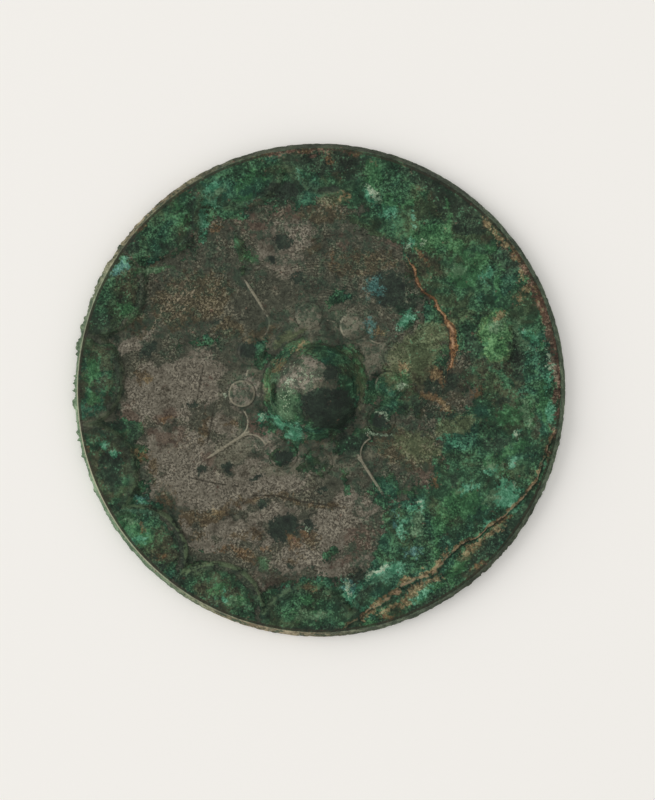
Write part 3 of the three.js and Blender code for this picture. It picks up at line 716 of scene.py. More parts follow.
# the rings of the polished face: the radius of each, and how many points it has
FACE_RINGS = ((58.8, 700), (57.6, 500), (54, 360), (48, 240), (38, 160), (26, 96), (12, 36), (0, 1))
FACE_R = 59.5
ARC_EDGES = (-1.25, 0.25, 0.65, 1.3)  # mm inside each arc, and so on for the discs and bays
SPOT_EDGES = (-0.28, 0.18)
BAY_EDGES = (-0.28, 0.23)
DRAWN = 0.42  # how far a point is drawn to an edge, in spacings of the net


def ring_radii():
    """Radii over the back, closer together where the knob is steep."""
    radii = [0.0]
    while radii[-1] < DISC_R - WALL_LEAN - NET / 2:
        r = radii[-1]
        steep = r / math.sqrt(max(DOME_R**2 - r * r, 1)) if r < KNOB_R - 0.1 else 0
        radii.append(r + max(NET / math.hypot(1, steep), 0.12))
    radii[-1] = DISC_R - WALL_LEAN
    return radii


def drawn_to(x, y, cx, cy, radius, only=None):
    """Net points close to a circle moved onto it."""
    dx, dy = x - cx, y - cy
    r = np.hypot(dx, dy)
    near = np.abs(r - radius) < DRAWN * NET
    if only is not None:
        near &= only
    scale = np.where(near, radius / np.maximum(r, 1e-6), 1)
    return cx + dx * scale, cy + dy * scale


def drawn_to_relief(x, y):
    """Net points close to the edges of the arcs, discs and bays moved onto them."""
    for i in range(ARC_COUNT):
        at = ARC_START + (i + 0.5) * ARC_STEP
        cx, cy = polar(ARC_CENTRE_R, at)
        mine = np.abs(turned_off(np.degrees(np.arctan2(y, x)), at)) < ARC_STEP / 2
        for depth in ARC_EDGES:
            x, y = drawn_to(x, y, cx, cy, ARC_R - depth, mine)
    for sx, sy in spots:
        for depth in SPOT_EDGES:
            x, y = drawn_to(x, y, KNOB_X + sx, KNOB_Y + sy, SPOT_R - depth)
    for bx, by in bays:
        on = base_depth(x - KNOB_X, y - KNOB_Y) > -0.6
        for depth in BAY_EDGES:
            x, y = drawn_to(x, y, KNOB_X + bx, KNOB_Y + by, BAY_R + depth, on)
    return x, y


def stitched(first, first_count, first_turn, second, second_count, second_turn):
    """Triangles between two rings with different numbers of points."""
    a_mid = first_turn + (np.arange(first_count) + 0.5) / first_count
    b_mid = second_turn + (np.arange(second_count) + 0.5) / second_count
    faces = []
    if first_count > 1:
        i = np.arange(first_count)
        j = np.searchsorted(b_mid, a_mid, side="left") % second_count
        faces.append(np.stack([first + i, second + j, first + (i + 1) % first_count], 1))
    if second_count > 1:
        j = np.arange(second_count)
        i = np.searchsorted(a_mid, b_mid, side="right") % first_count
        faces.append(np.stack([second + j, second + (j + 1) % second_count, first + i], 1))
    return np.concatenate(faces)


def wall_inset(bearing):
    """How far the eaten foot of the wall stands inside the full radius, by the camera's bearing."""
    return 0.08 + around(bearing, (178, 30, 0.70), (-42, 25, 0.2))


def edge_inset(bearing):
    """How far the top edge of the wall stands inside where it was cast."""
    return 0.06 + around(bearing, (178, 30, 0.34))


def wall_nodules(bearing, z):
    """How far nodules of crust stand out from the wall."""
    much = 0.30 + around(bearing, (178, 24, 0.9), (130, 22, 0.5), (228, 12, 0.5), (-45, 30, 0.35))
    along = np.radians(bearing) * DISC_R
    return much * np.clip(cloud(along, z * 1.2, 1.3, 21, octaves=3, fade=0.7) - 0.08, 0, 1.1)


def bearing_of(x, y):
    """The camera's bearing of places in the mirror's own axes."""
    px, py = seen(x, y)
    return np.degrees(np.arctan2(py, px))


def ring(radius, count, turn):
    """The points of a ring, turned by a part of a whole turn."""
    theta = 2 * math.pi * (turn + np.arange(count) / count)
    return radius * np.cos(theta), radius * np.sin(theta)


def back_ring(x, y):
    """A ring over the back, drawn to the edges of the relief and lifted to its height."""
    inward = edge_inset(bearing_of(x, y)) * ramp(np.hypot(x, y), 52, DISC_R - WALL_LEAN)
    scale = 1 - inward / np.maximum(np.hypot(x, y), 1)
    x, y = drawn_to_relief(x, y)
    x, y = x * scale, y * scale
    return x, y, corroded_height(x, y)


def wall_ring(x, y, down, edge_z):
    """A ring on the wall, `down` of the way from its top edge at edge_z to its foot."""
    bearing, r = bearing_of(x, y), np.hypot(x, y)
    z = WALL_TOP_Z + (WALL_FOOT_Z - WALL_TOP_Z) * down + (edge_z - WALL_TOP_Z) * (1 - down) ** 3
    inset = edge_inset(bearing) * (1 - down) + wall_inset(bearing) * down
    rough = 0.10 * cloud(np.radians(bearing) * DISC_R, z, 1.2, 22) * ramp(down, 0, 0.2)
    out = r - inset + wall_nodules(bearing, z) * ramp(down, 0.05, 0.4) + rough
    out = np.minimum(out, DISC_R - 0.02)
    return x * out / r, y * out / r, z


def face_ring(x, y):
    """A ring on the polished face, drawn in under the eaten foot of the wall."""
    r = np.hypot(x, y)
    scale = 1 - wall_inset(bearing_of(x, y)) * ramp(r, 40, 59) / np.maximum(r, 1)
    return x * scale, y * scale, np.zeros(len(x))


rings, turns = [], []
for number, r in enumerate(ring_radii()):
    count = max(6, round(2 * math.pi * r / NET)) if number else 1
    turn = 0.5 / count * (number % 2)
    x, y = ring(r, count, turn)
    shift = 1 - ramp(r, 16, 44)  # the inner rings lie round the knob
    rings.append(back_ring(x + KNOB_X * shift, y + KNOB_Y * shift))
    turns.append(turn)

edge_z = rings[-1][2]
wall_count = len(edge_z)
for step in range(1, WALL_STEPS + 1):
    down = step / WALL_STEPS
    turn = 0.5 / wall_count * (len(rings) % 2)
    x, y = ring(DISC_R - WALL_LEAN * (1 - down), wall_count, turn)
    rings.append(wall_ring(x, y, down, edge_z))
    turns.append(turn)

for r, count in ((FACE_R, wall_count), *FACE_RINGS):
    rings.append(face_ring(*ring(r, count, 0)))
    turns.append(0)

faces = []
start = 0
for k in range(len(rings) - 1):
    count, next_count = len(rings[k][0]), len(rings[k + 1][0])
    faces.append(stitched(start, count, turns[k], start + count, next_count, turns[k + 1]))
    start += count
faces = np.concatenate(faces)
points = np.concatenate([np.stack(places, 1) for places in rings])

casting = bpy.data.meshes.new("mirror_casting")
casting.vertices.add(len(points))
casting.vertices.foreach_set("co", (points * MM).astype(np.float32).ravel())
casting.loops.add(faces.size)
casting.loops.foreach_set("vertex_index", faces.astype(np.int32).ravel())
casting.polygons.add(len(faces))
casting.polygons.foreach_set("loop_start", np.arange(0, faces.size, 3, dtype=np.int32))
casting.update(calc_edges=True)
mirror = bpy.data.objects.new("bronze_mirror", casting)
bpy.context.scene.collection.objects.link(mirror)

# ---------------------------------------------------------------------------------------------
# The cord hole. A passage straight through the knob above its collar, left rough by the clay
# core that kept the metal out of it. Crust hangs from its roof, and earth nearly fills its
# right mouth. It is cut from the casting.
# ---------------------------------------------------------------------------------------------
HOLE_STEPS = 60
FLOOR_SIDES = 9
SIDE_STEPS = 6
CORNER_STEPS = 5
FLOOR_GAP = 0.12  # from the collar up to the passage's floor
HANGING = (1.0, 1.1)  # how far crust hangs at the left mouth and at the right one
EARTH = (1.7, 3.6)  # how high earth lies in each mouth
NARROWED = (0.14, 0.2)  # how much crust takes from the width of each
CORE_ROUGH = 0.25


def hole_section():
    """The passage's outline across the cord, as (y, z) from the middle of its floor."""
    half, straight = HOLE_W / 2, HOLE_H - HOLE_CORNER_R
    right = [(half, straight * i / SIDE_STEPS) for i in range(1, SIDE_STEPS + 1)]
    for i in range(1, CORNER_STEPS + 1):
        across, up = polar(HOLE_CORNER_R, 90 * i / CORNER_STEPS)
        right.append((half - HOLE_CORNER_R + across, straight + up))
    floor_line = [(-half + HOLE_W * i / FLOOR_SIDES, 0) for i in range(FLOOR_SIDES + 1)]
    return floor_line + right + [(-y, z) for y, z in reversed(right)]


def passage_points(along):
    """The passage's outline at a distance along it, as its crust and earth leave it."""
    left, right = ramp(-along, 6, 9.5), ramp(along, 5, 8.5)
    hanging = HANGING[0] * left + HANGING[1] * right
    earth = EARTH[0] * ramp(-along, 9, 10.2) + EARTH[1] * right
    narrow = 1 - NARROWED[0] * left - NARROWED[1] * right
    places = []
    for i, (y, z) in enumerate(hole_section()):
        rough = CORE_ROUGH * cloud(np.float64(along), np.float64(i * 0.55), 1.6, 31)
        up = COLLAR_Z + FLOOR_GAP + earth + z / HOLE_H * (HOLE_H - hanging - earth)
        up = up + rough * (0.3 if z == 0 else 1)
        places.append((KNOB_X + along, KNOB_Y + y * narrow * (1 + rough / 4), up))
    return places


hole_points, hole_faces = [], []
for k in range(HOLE_STEPS + 1):
    hole_points += passage_points((COLLAR_R + 0.6) * (2 * k / HOLE_STEPS - 1))
n = len(hole_section())
for k in range(HOLE_STEPS):
    for i in range(n):
        a, b = k * n + i, k * n + (i + 1) % n
        hole_faces.append((a, a + n, b + n, b))
hole_faces.append(tuple(range(n)))
hole_faces.append(tuple(HOLE_STEPS * n + i for i in reversed(range(n))))
passage_mesh = bpy.data.meshes.new("passage")
passage_mesh.from_pydata([(x * MM, y * MM, z * MM) for x, y, z in hole_points], [], hole_faces)
passage = bpy.data.objects.new("passage", passage_mesh)
bpy.context.scene.collection.objects.link(passage)
cut = mirror.modifiers.new("cord hole", "BOOLEAN")
cut.operation = "DIFFERENCE"
cut.solver = "MANIFOLD"
cut.object = passage
depsgraph = bpy.context.evaluated_depsgraph_get()
finished = bpy.data.meshes.new_from_object(mirror.evaluated_get(depsgraph))
mirror.modifiers.clear()
mirror.data = finished
bpy.data.objects.remove(passage)
finished.polygons.foreach_set("use_smooth", np.ones(len(finished.polygons), dtype=bool))

# What each point of the mirror tells its surface: the masks of the patina, the distances inside
# the relief's edges, and how much of each change round the mirror there is at its bearing
co = np.empty(len(finished.vertices) * 3, dtype=np.float32)
finished.vertices.foreach_get("co", co)
x, y, z = co.reshape(-1, 3).astype(float).T / MM
kx, ky = x - KNOB_X, y - KNOB_Y
r, kr = np.hypot(x, y), np.hypot(kx, ky)
px, py = seen(x, y)
bearing = bearing_of(x, y)
gap, along = stem_gap(kx, ky)
masks = corrosion(x, y)
masks["arc"] = arc_depth(x, y)
masks["spot"] = spot_depth(kx, ky)
masks["base"] = base_depth(kx, ky) + 9 * (masks["spot"] > -1.0)
masks["stem"] = gap + 0.5 * ramp(along, STEM_END_R - 3.5, STEM_END_R + 0.5)
masks["knob"] = kr
masks["shown"] = (1 - buried(px, py)) * (1 - around(bearing, (146, 20, 0.7)))
# Where the lips of the arcs get a painted highlight, most of it on the lower left
masks["lip_lit"] = masks["shown"] * (0.25 + around(bearing, (238, 24, 0.75)))
masks["worked"] = np.maximum(ramp(kr, 26, 17), around(bearing, (186, 22, 1)) * ramp(r, 45, 50))
masks["edge"] = r + edge_inset(bearing) - (DISC_R - WALL_LEAN)
masks["tan_wall"] = around(bearing, (-102, 17, 1), (134, 20, 0.8))
# Where the wall is painted in shade (dim_wall) and in light (lit_wall), by bearing
masks["dim_wall"] = around(bearing, (88, 36, 1), (-46, 20, 0.8))
masks["lit_wall"] = around(bearing, (204, 42, 1))
masks["red_rim"] = around(bearing, (12, 24, 1), (93, 14, 0.6))
inside = ramp(dome_height(kr) - z, 0.3, 0.9)
# Where the inside of the cord hole is painted in shade
masks["hole"] = (kr < KNOB_R) * inside * (z > 3) * (kx < 6)
masks["under"] = ramp(-z, -0.3, -0.05)
for name, values in masks.items():
    made = finished.attributes.new(name, "FLOAT", "POINT")
    made.data.foreach_set("value", np.asarray(values, dtype=np.float32))

# ---------------------------------------------------------------------------------------------
# The surface of the bronze. Grey to pinkish high-tin metal, pitted and stained, under layers of
# crust. Each layer has its mask, broken up at its edge by fine grain, and three tones of its own.
# ---------------------------------------------------------------------------------------------
def tone(r, g, b):
    """A colour given in the 0 to 255 steps of a screen, as linear light."""
    return tuple(((v / 255 + 0.055) / 1.055) ** 2.4 if v > 10 else v / 3295 for v in (r, g, b)) + (1.0,)


def add(tree, kind, inputs=None, **settings):
    """A node with its settings, each of its inputs set to a value or linked to a socket."""
    made = tree.nodes.new(kind)
    for name, value in settings.items():
        setattr(made, name, value)
    for key, value in (inputs or {}).items():
        if isinstance(value, bpy.types.NodeSocket):
            tree.links.new(value, made.inputs[key])
        else:
            made.inputs[key].default_value = value
    return made


def calc(tree, operation, *values):
    """The result of a Math node."""
    return add(tree, "ShaderNodeMath", dict(enumerate(values)), operation=operation).outputs[0]


def smooth(tree, value, start, full):
    """A value turned to 0 at start and to 1 at full, smoothly."""
    return add(tree, "ShaderNodeMapRange", {"Value": value, "From Min": start, "From Max": full},
               interpolation_type="SMOOTHSTEP").outputs[0]


def blend(tree, a, b, factor, kind="RGBA"):
    """Two colours or two values mixed by a factor."""
    first = {"RGBA": 6, "FLOAT": 2}[kind]  # where the Mix node's inputs of this kind begin
    mixed = add(tree, "ShaderNodeMix", {0: factor, first: a, first + 1: b}, data_type=kind)
    return mixed.outputs[first // 3]


def moved(tree, seed):
    """The object's own space, shifted by a seed, so that no two patterns line up."""
    place = add(tree, "ShaderNodeTexCoord").outputs["Object"]
    return add(tree, "ShaderNodeVectorMath", {0: place, 1: seed}, operation="ADD").outputs[0]


def noise(tree, grain, detail, roughness, seed, warp=0.0):
    """Noise between 0 and 1 whose features are `grain` mm across."""
    return add(tree, "ShaderNodeTexNoise", {
        "Vector": moved(tree, seed), "Scale": calc(tree, "DIVIDE", 1 / MM, grain), "Detail": detail,
        "Roughness": roughness, "Distortion": warp,
    }).outputs["Fac"]


def new_group(name, sockets_in, sockets_out):
    """An empty shader group with named sockets, its input node and its output node."""
    group = bpy.data.node_groups.new(name, "ShaderNodeTree")
    for way, sockets in (("INPUT", sockets_in), ("OUTPUT", sockets_out)):
        for label, kind in sockets:
            group.interface.new_socket(label, in_out=way, socket_type="NodeSocket" + kind)
    return group, group.nodes.new("NodeGroupInput").outputs, group.nodes.new("NodeGroupOutput").inputs


# The ragged edge of a patch: its mask, broken by grain and cut off sharply
ragged, given, result = new_group(
    "ragged edge",
    [("Mask", "Float"), ("Grain", "Float"), ("Reach", "Float"), ("Softness", "Float"), ("Seed", "Vector")],
    [("Mask", "Float")],
)
swing = calc(ragged, "SUBTRACT", noise(ragged, given["Grain"], 5.5, 0.74, given["Seed"]), 0.5)
broken = calc(ragged, "MULTIPLY_ADD", swing, given["Reach"], given["Mask"])
outer = calc(ragged, "SUBTRACT", 0.5, given["Softness"])
inner = calc(ragged, "ADD", 0.5, given["Softness"])
ragged.links.new(smooth(ragged, broken, outer, inner), result["Mask"])

# Three tones of one mineral, spread over a value from 0 to 1
mineral, given, result = new_group(
    "mineral tones",
    [("Dark", "Color"), ("Middle", "Color"), ("Light", "Color"), ("Value", "Float")],
    [("Color", "Color")],
)
lower_half = calc(mineral, "MULTIPLY", given["Value"], 2.0)
upper_half = calc(mineral, "MULTIPLY_ADD", given["Value"], 2.0, -1.0)
lower = blend(mineral, given["Dark"], given["Middle"], lower_half)
mineral.links.new(blend(mineral, lower, given["Light"], upper_half), result["Color"])

# Separate specks about a grain apart, larger as Size goes from 0 to 1
specks, given, result = new_group(
    "specks", [("Size", "Float"), ("Grain", "Float"), ("Seed", "Vector")], [("Mask", "Float")],
)
cells = add(specks, "ShaderNodeTexVoronoi", {
    "Vector": moved(specks, given["Seed"]), "Scale": calc(specks, "DIVIDE", 1 / MM, given["Grain"]),
}).outputs["Distance"]
jagged = calc(specks, "MULTIPLY_ADD", noise(specks, 0.5, 2.0, 0.6, given["Seed"]), 0.9, cells)
within = calc(specks, "SUBTRACT", jagged, given["Size"])
specks.links.new(smooth(specks, within, 0.48, 0.40), result["Mask"])

bronze = bpy.data.materials.new("corroded bronze")
bronze.use_nodes = True
tree = bronze.node_tree
shader = tree.nodes["Principled BSDF"]


def attribute(name):
    """What the mirror's points say under a name."""
    return add(tree, "ShaderNodeAttribute", attribute_name=name).outputs["Fac"]


def use(group, **inputs):
    """A group placed in the bronze, with its values or sockets by name."""
    return add(tree, "ShaderNodeGroup", inputs, node_tree=group).outputs[0]


def tones(dark, middle, light, value):
    """A mineral's three tones, spread over a value."""
    return use(mineral, Dark=tone(*dark), Middle=tone(*middle), Light=tone(*light), Value=value)


def torn(mask, grain, reach, softness, seed):
    """A mask with the ragged edge of a patch of crust."""
    return use(ragged, Mask=mask, Grain=grain, Reach=reach, Softness=softness, Seed=seed)


def times(*masks):
    """Masks multiplied together. A number is a mask of one strength all over."""
    total = masks[0]
    for mask in masks[1:]:
        total = calc(tree, "MULTIPLY", total, mask)
    return total


def scaled(value, factor, shift):
    """A value times a number, plus another."""
    return calc(tree, "MULTIPLY_ADD", value, factor, shift)


def laid(under, over, *masks):
    """One colour laid over another where all the masks are."""
    return blend(tree, under, over, times(*masks))


def between(name, start, full, end, gone):
    """A mask that rises from start to full along a distance, and falls from end to gone."""
    value = attribute(name)
    return times(smooth(tree, value, start, full), smooth(tree, value, gone, end))


def stretched(*parts):
    """Noises added about 0.5, each with its contrast, and held between 0 and 1."""
    total = 0.5
    for value, contrast in parts:
        total = calc(tree, "MULTIPLY_ADD", calc(tree, "SUBTRACT", value, 0.5), contrast, total)
    return add(tree, "ShaderNodeClamp", {"Value": total}).outputs[0]


# Noise of four sizes. The grain is coarse away from the worked relief, and busier here and there.
wide = noise(tree, 7.0, 4.0, 0.6, (0.37, -0.21, 0.13), 0.4)
mid = noise(tree, 2.2, 4.0, 0.65, (0.74, -0.42, 0.26), 0.5)
fine = noise(tree, 0.7, 3.0, 0.75, (1.11, -0.63, 0.39))
grit = noise(tree, 0.42, 1.0, 0.5, (1.48, -0.84, 0.52))
coarse = scaled(attribute("worked"), -0.6, 1.0)
busy = smooth(tree, noise(tree, 8.0, 3.0, 0.6, (0.5, 0.9, -0.2), 0.6), 0.42, 0.58)
busy = times(scaled(busy, 0.75, 0.25), coarse)
crusty = stretched((wide, 1.2), (mid, 1.5), (fine, scaled(busy, 1.5, 0.4)), (grit, scaled(busy, 0.9, 0.3)))
metallic = stretched((wide, 1.5), (mid, 1.7), (fine, scaled(busy, 1.3, 0.3)), (grit, scaled(busy, 1.0, 0.2)))

color = tones((36, 39, 29), (68, 71, 58), (108, 108, 90), metallic)
rough = 0.6
metal = 0.15
for number, (name, layer) in enumerate(LAYERS.items(), start=10):
    mask = torn(attribute(name), *layer["edge"], layer["soft"], (number * 0.01, 0, 0))
    amount = times(mask, layer["cover"])
    color = laid(color, tones(*layer["tones"], metallic if layer["metal"] > 0 else crusty), amount)
    rough = blend(tree, rough, layer["rough"], amount, "FLOAT")
    metal = blend(tree, metal, layer["metal"], amount, "FLOAT")
    if name == "crust":
        # the green crust drifts to teal and to drab
        crust_amount = amount
        drift = noise(tree, 9.0, 4.0, 0.6, (1.85, -1.05, 0.65), 0.5)
        teal = tones((12, 32, 26), (30, 68, 54), (76, 130, 106), crusty)
        color = laid(color, teal, smooth(tree, drift, 0.52, 0.64), 0.7, amount)
        drab = tones((24, 28, 19), (52, 62, 42), (92, 104, 72), crusty)
        color = laid(color, drab, smooth(tree, drift, 0.50, 0.38), 0.7, amount)
    if name == "dark":
        calm = scaled(mask, -0.92, 1.0)

# Dark pits and cream flecks in the metal
on_metal = times(calc(tree, "SUBTRACT", 1.0, crust_amount), calm)
clustered = smooth(tree, scaled(wide, 0.6, times(mid, 0.4)), 0.44, 0.56)
clustered = times(clustered, coarse)
pitted = noise(tree, 0.52, 3.0, 0.7, (0.3, 0.1, 0.0), 0.2)
pits = times(smooth(tree, scaled(clustered, 0.15, pitted), 0.64, 0.70), on_metal)
color = laid(color, tone(46, 43, 32), pits, 0.66)
flecks = smooth(tree, scaled(clustered, -0.12, pitted), 0.34, 0.26)
color = laid(color, tone(144, 137, 118), flecks, on_metal, coarse, 0.45)

# Fine rings from turning, dark in their grooves and light on their crests
RING_GAP = 0.62
WAVE_SCALE = math.pi / 10  # a Wave texture of this scale has one ring to each metre
rings_cut = add(tree, "ShaderNodeTexWave", {
    "Vector": moved(tree, (0, 0, 0)), "Scale": WAVE_SCALE / (RING_GAP * MM), "Distortion": 5.0,
    "Detail": 3.0,
}, wave_type="RINGS", rings_direction="Z").outputs["Fac"]
turned = times(torn(attribute("turned"), 3.0, 3.0, 0.4, (0.1, 0.7, 0.3)), on_metal)
turned = times(turned, smooth(tree, mid, 0.38, 0.62))
color = laid(color, tone(40, 39, 30), smooth(tree, rings_cut, 0.35, 0.1), turned, 0.30)
color = laid(color, tone(136, 130, 110), smooth(tree, rings_cut, 0.7, 0.95), turned, 0.26)

# Light scratches, all aslant the same way
aslant = add(tree, "ShaderNodeMapping", {
    "Vector": moved(tree, (0, 0, 0)), "Rotation": (0, 0, math.radians(52)), "Scale": (2.2, 1.0, 1.0),
}, vector_type="TEXTURE").outputs[0]
scratched = add(tree, "ShaderNodeTexNoise", {
    "Vector": aslant, "Scale": 1 / (0.5 * MM), "Detail": 4.0, "Roughness": 0.7,
}).outputs["Fac"]
hatched = torn(attribute("hatched"), 3.0, 4.0, 0.35, (0.2, 0.5, 0.1))
scratched = times(on_metal, smooth(tree, scratched, 0.55, 0.64))
color = laid(color, tone(150, 138, 112), times(hatched, scratched), 0.42)

# Pale specks in the crust, and more of them on the knob
size = scaled(smooth(tree, mid, 0.46, 0.62), 0.32, 0.04)
pale = use(specks, Size=size, Grain=0.8, Seed=(0.5, 0.2, 0.0))
color = laid(color, tone(96, 148, 110), pale, crust_amount, calm, 0.4)
flecked = attribute("flecked")
size = times(smooth(tree, flecked, 0.3, 1.3), 0.34)
speckled = use(specks, Size=size, Grain=0.62, Seed=(0.9, 0.2, 0.4))
color = laid(color, tone(152, 170, 140), speckled, calm, smooth(tree, flecked, 0.3, 0.6), 0.62)

# The lip of the lifted crust: earthy, with a painted highlight as a hairline at its edge and painted shade
# for the gap under it
lip = torn(scaled(between("flap", -0.5, 0.0, 0.4, 1.9), 0.62, -0.02), 2.0, 3.2, 0.12, (0.7, 0, 0))
lip_color = tones((56, 44, 31), (108, 90, 62), (176, 156, 116), crusty)
color = laid(color, lip_color, lip, between("flap", -1.4, -0.9, 2.0, 3.0), 0.78)
flap_edge_highlight = times(between("flap", -0.25, 0.05, 0.15, 0.5), smooth(tree, mid, 0.40, 0.54))
color = laid(color, tone(158, 134, 108), flap_edge_highlight, 0.7)
color = laid(color, tone(24, 28, 23), between("flap", -1.1, -0.6, -0.45, -0.15), 0.6)

# The ridge of the crack: golden, with a painted highlight as a hairline along it and painted shade in the
# furrow beside it
ridge = torn(scaled(between("crack", -1.0, -0.4, 0.7, 1.4), 0.70, 0.10), 1.0, 3.4, 0.15, (0.8, 0, 0))
ridge_color = tones((48, 35, 25), (108, 76, 47), (176, 138, 94), crusty)
color = laid(color, ridge_color, ridge, between("crack", -1.6, -1.1, 1.4, 2.0), 0.9)
ridge_crest_highlight = times(between("crack", -0.35, 0.0, 0.1, 0.5), smooth(tree, mid, 0.38, 0.54))
color = laid(color, tone(190, 152, 120), ridge_crest_highlight, 0.6)
color = laid(color, tone(26, 26, 20), between("crack", -1.1, -0.8, -0.65, -0.4), 0.6)

# The dark scored lines and the light scratches
score = times(between("score", -0.38, -0.1, 0.1, 0.38), smooth(tree, mid, 0.36, 0.50))
color = laid(color, tone(42, 40, 30), score, 0.75)
scratch = times(between("scratch", -0.45, -0.1, 0.1, 0.45), smooth(tree, fine, 0.46, 0.60))
color = laid(color, tone(160, 148, 124), scratch, 0.7)

# The strip behind each arc's lip, and a painted highlight along the lip, most of it on the lower left
shown = attribute("shown")
strip_color = tones((22, 30, 22), (43, 54, 41), (76, 86, 66), crusty)
color = laid(color, strip_color, between("arc", -1.2, -0.5, 1.2, 1.8), shown, 0.8)
lip_highlight = times(between("arc", -0.9, -0.4, 0.1, 0.5), attribute("lip_lit"), smooth(tree, mid, 0.42, 0.55))
color = laid(color, tone(106, 126, 92), lip_highlight, 0.85)

# Dirt in the hollows of the relief
HOLLOWS = (
    ("spot", -0.6, -0.35, -0.25, 0.0), ("base", -0.6, -0.35, -0.2, 0.0), ("knob", 12.5, 12.8, 12.95, 13.5),
)
dirt = times(between("arc", 1.4, 1.7, 1.9, 2.4), shown)
for hollow in HOLLOWS:
    dirt = calc(tree, "MAXIMUM", dirt, between(*hollow))
color = laid(color, tone(28, 32, 25), dirt, smooth(tree, mid, 0.38, 0.6), 0.55)

# The light edges of the stems, the discs and the base: worn metal and also a painted highlight where the
# edges catch the light, clear in a few places only
worn_and_lit_edges = smooth(tree, attribute("stem"), 0.42, 0.18)
worn_and_lit_edges = calc(tree, "MAXIMUM", worn_and_lit_edges, times(between("spot", -0.15, 0.0, 0.2, 0.45), 0.8))
worn_and_lit_edges = calc(tree, "MAXIMUM", worn_and_lit_edges, between("base", -0.12, 0.0, 0.15, 0.35))
clear = torn(attribute("clear"), 2.0, 4.0, 0.3, (0.9, 0, 0))
patchy = scaled(smooth(tree, fine, 0.40, 0.54), 0.35, 0.65)
color = laid(color, tone(152, 146, 126), worn_and_lit_edges, scaled(clear, 0.69, 0.07), patchy)

# The wall: painted light, a pale copy of its crust, on the side towards the light; painted shade at the top
# and the lower right; and tan in places
wall_grain = stretched((wide, 1.2), (mid, 1.8), (fine, 1.3), (grit, 0.6))
wall_color = tones((34, 44, 33), (70, 84, 66), (116, 132, 106), wall_grain)
lit_wall_color = tones((62, 86, 64), (108, 132, 104), (158, 180, 148), wall_grain)
wall_color = laid(wall_color, lit_wall_color, attribute("lit_wall"), 0.9)
tan_wall = tones((72, 60, 44), (124, 111, 86), (190, 178, 148), wall_grain)
wall_color = laid(wall_color, tan_wall, attribute("tan_wall"), smooth(tree, mid, 0.38, 0.52))
wall_color = laid(wall_color, tone(44, 45, 36), attribute("dim_wall"), 0.7)
color = laid(color, wall_color, smooth(tree, attribute("edge"), -0.05, 0.12))

# The top edge of the wall: a painted cream highlight on the side towards the light, a dark line inside it,
# and flaky red crust
lit_edge_highlight = times(between("edge", -0.08, 0.04, 0.2, 0.4), attribute("lit_wall"))
color = laid(color, tone(172, 166, 142), lit_edge_highlight, 0.75)
line = times(between("edge", -0.8, -0.5, -0.15, 0.0), smooth(tree, mid, 0.30, 0.46))
color = laid(color, tone(48, 44, 34), line, 0.75)
red_band = times(between("edge", -3.4, -1.2, -0.2, 0.1), attribute("red_rim"))
red_band = torn(times(red_band, 0.75), 1.8, 3.2, 0.15, (0.4, 0.8, 0))
color = laid(color, tones((42, 32, 27), (84, 62, 51), (156, 128, 110), crusty), red_band, 0.8)

# Painted shade inside the cord hole, and the polished face underneath with its thin even patina
color = laid(color, tone(30, 25, 19), attribute("hole"))
under = attribute("under")
thin = tones((34, 44, 34), (70, 82, 64), (116, 120, 98), stretched((wide, 1.6), (mid, 1.2)))
color = laid(color, thin, under)
rough = blend(tree, rough, 0.5, under, "FLOAT")
metal = blend(tree, metal, 0.3, under, "FLOAT")
tree.links.new(color, shader.inputs["Base Color"])
tree.links.new(rough, shader.inputs["Roughness"])
tree.links.new(metal, shader.inputs["Metallic"])
shader.inputs["Specular IOR Level"].default_value = 0.28

bumps = scaled(fine, 0.6, times(mid, 0.8))
bumps = times(bumps, scaled(crust_amount, 0.8, 0.3))
bumps = scaled(pits, -0.35, bumps)
bumps = scaled(grit, 0.25, bumps)
bump = add(tree, "ShaderNodeBump", {"Height": bumps, "Strength": 0.9, "Distance": 0.38 * MM})
tree.links.new(bump.outputs["Normal"], shader.inputs["Normal"])

finished.materials.clear()
finished.materials.append(bronze)
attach(mirror, "root")
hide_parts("mirror")

# ---------------------------------------------------------------------------------------------
# The floor, the light and the camera. A plain pale floor, soft light from the left, and the
# camera straight above, turned a little against the cord hole.
# ---------------------------------------------------------------------------------------------
FLOOR_HALF = 3.0
PAPER = (0.942, 0.927, 0.897, 1)
SKY = (1.0, 0.99, 0.975, 1)
SKY_STRENGTH = 0.72

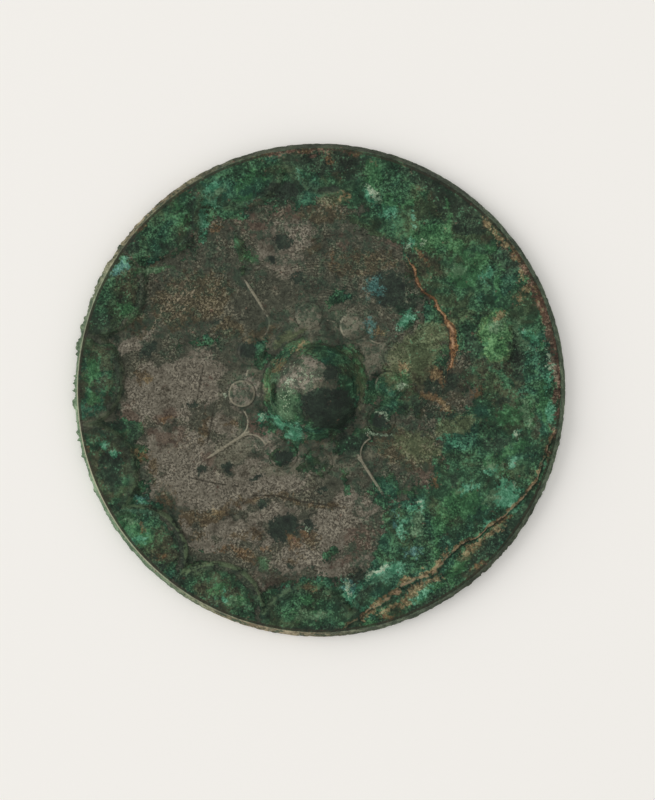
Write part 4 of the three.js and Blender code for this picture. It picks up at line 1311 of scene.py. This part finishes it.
scene = bpy.context.scene
scene.view_settings.view_transform = "Standard"
corners = [(FLOOR_HALF * x, FLOOR_HALF * y, 0) for x, y in ((-1, -1), (1, -1), (1, 1), (-1, 1))]
floor_mesh = bpy.data.meshes.new("floor")
floor_mesh.from_pydata(corners, [], [(0, 1, 2, 3)])
floor = bpy.data.objects.new("floor", floor_mesh)
scene.collection.objects.link(floor)
paper = bpy.data.materials.new("pale paper")
paper.use_nodes = True
paper_shader = paper.node_tree.nodes["Principled BSDF"]
paper_shader.inputs["Base Color"].default_value = PAPER
paper_shader.inputs["Roughness"].default_value = 0.95
paper_shader.inputs["Specular IOR Level"].default_value = 0.2
floor_mesh.materials.append(paper)

world = bpy.data.worlds.new("studio")
world.use_nodes = True
world.node_tree.nodes["Background"].inputs["Color"].default_value = SKY
world.node_tree.nodes["Background"].inputs["Strength"].default_value = SKY_STRENGTH
scene.world = world


def from_camera(x, y):
    """Places as the camera sees them, turned to the mirror's own axes."""
    c, s = math.cos(LAID_TURN), math.sin(LAID_TURN)
    return x * c + y * s, y * c - x * s


# The one lamp: a square soft box low at the left, that looks at the mirror
LAMP_TOWARD = (-1.0, 0.16, 0.55)  # in the camera's axes
LAMP_DISTANCE = 5.0
lamp = bpy.data.lights.new("key", "AREA")
lamp.size = 4.0
lamp.energy = 132.0
lamp.color = (1.0, 0.985, 0.96)
key = bpy.data.objects.new("key", lamp)
x, y = from_camera(LAMP_TOWARD[0], LAMP_TOWARD[1])
key.location = Vector((x, y, LAMP_TOWARD[2])).normalized() * LAMP_DISTANCE
key.rotation_euler = key.location.to_track_quat("Z", "Y").to_euler()
scene.collection.objects.link(key)

CAMERA_HEIGHT = 750
VIEW_HEIGHT = 193.6  # how much of the rim's plane the picture takes in from top to bottom
OFF_X, OFF_Y = 2.13, -2.40
SENSOR = 36
camera_data = bpy.data.cameras.new("camera")
camera_data.sensor_width = SENSOR
camera_data.lens = SENSOR * (CAMERA_HEIGHT - RIM_Z) / VIEW_HEIGHT
camera_data.clip_start = 0.01
camera = bpy.data.objects.new("camera", camera_data)
x, y = from_camera(OFF_X, OFF_Y)
camera.location = (x * MM, y * MM, CAMERA_HEIGHT * MM)
camera.rotation_euler = (0, 0, -LAID_TURN)
scene.collection.objects.link(camera)
scene.camera = camera
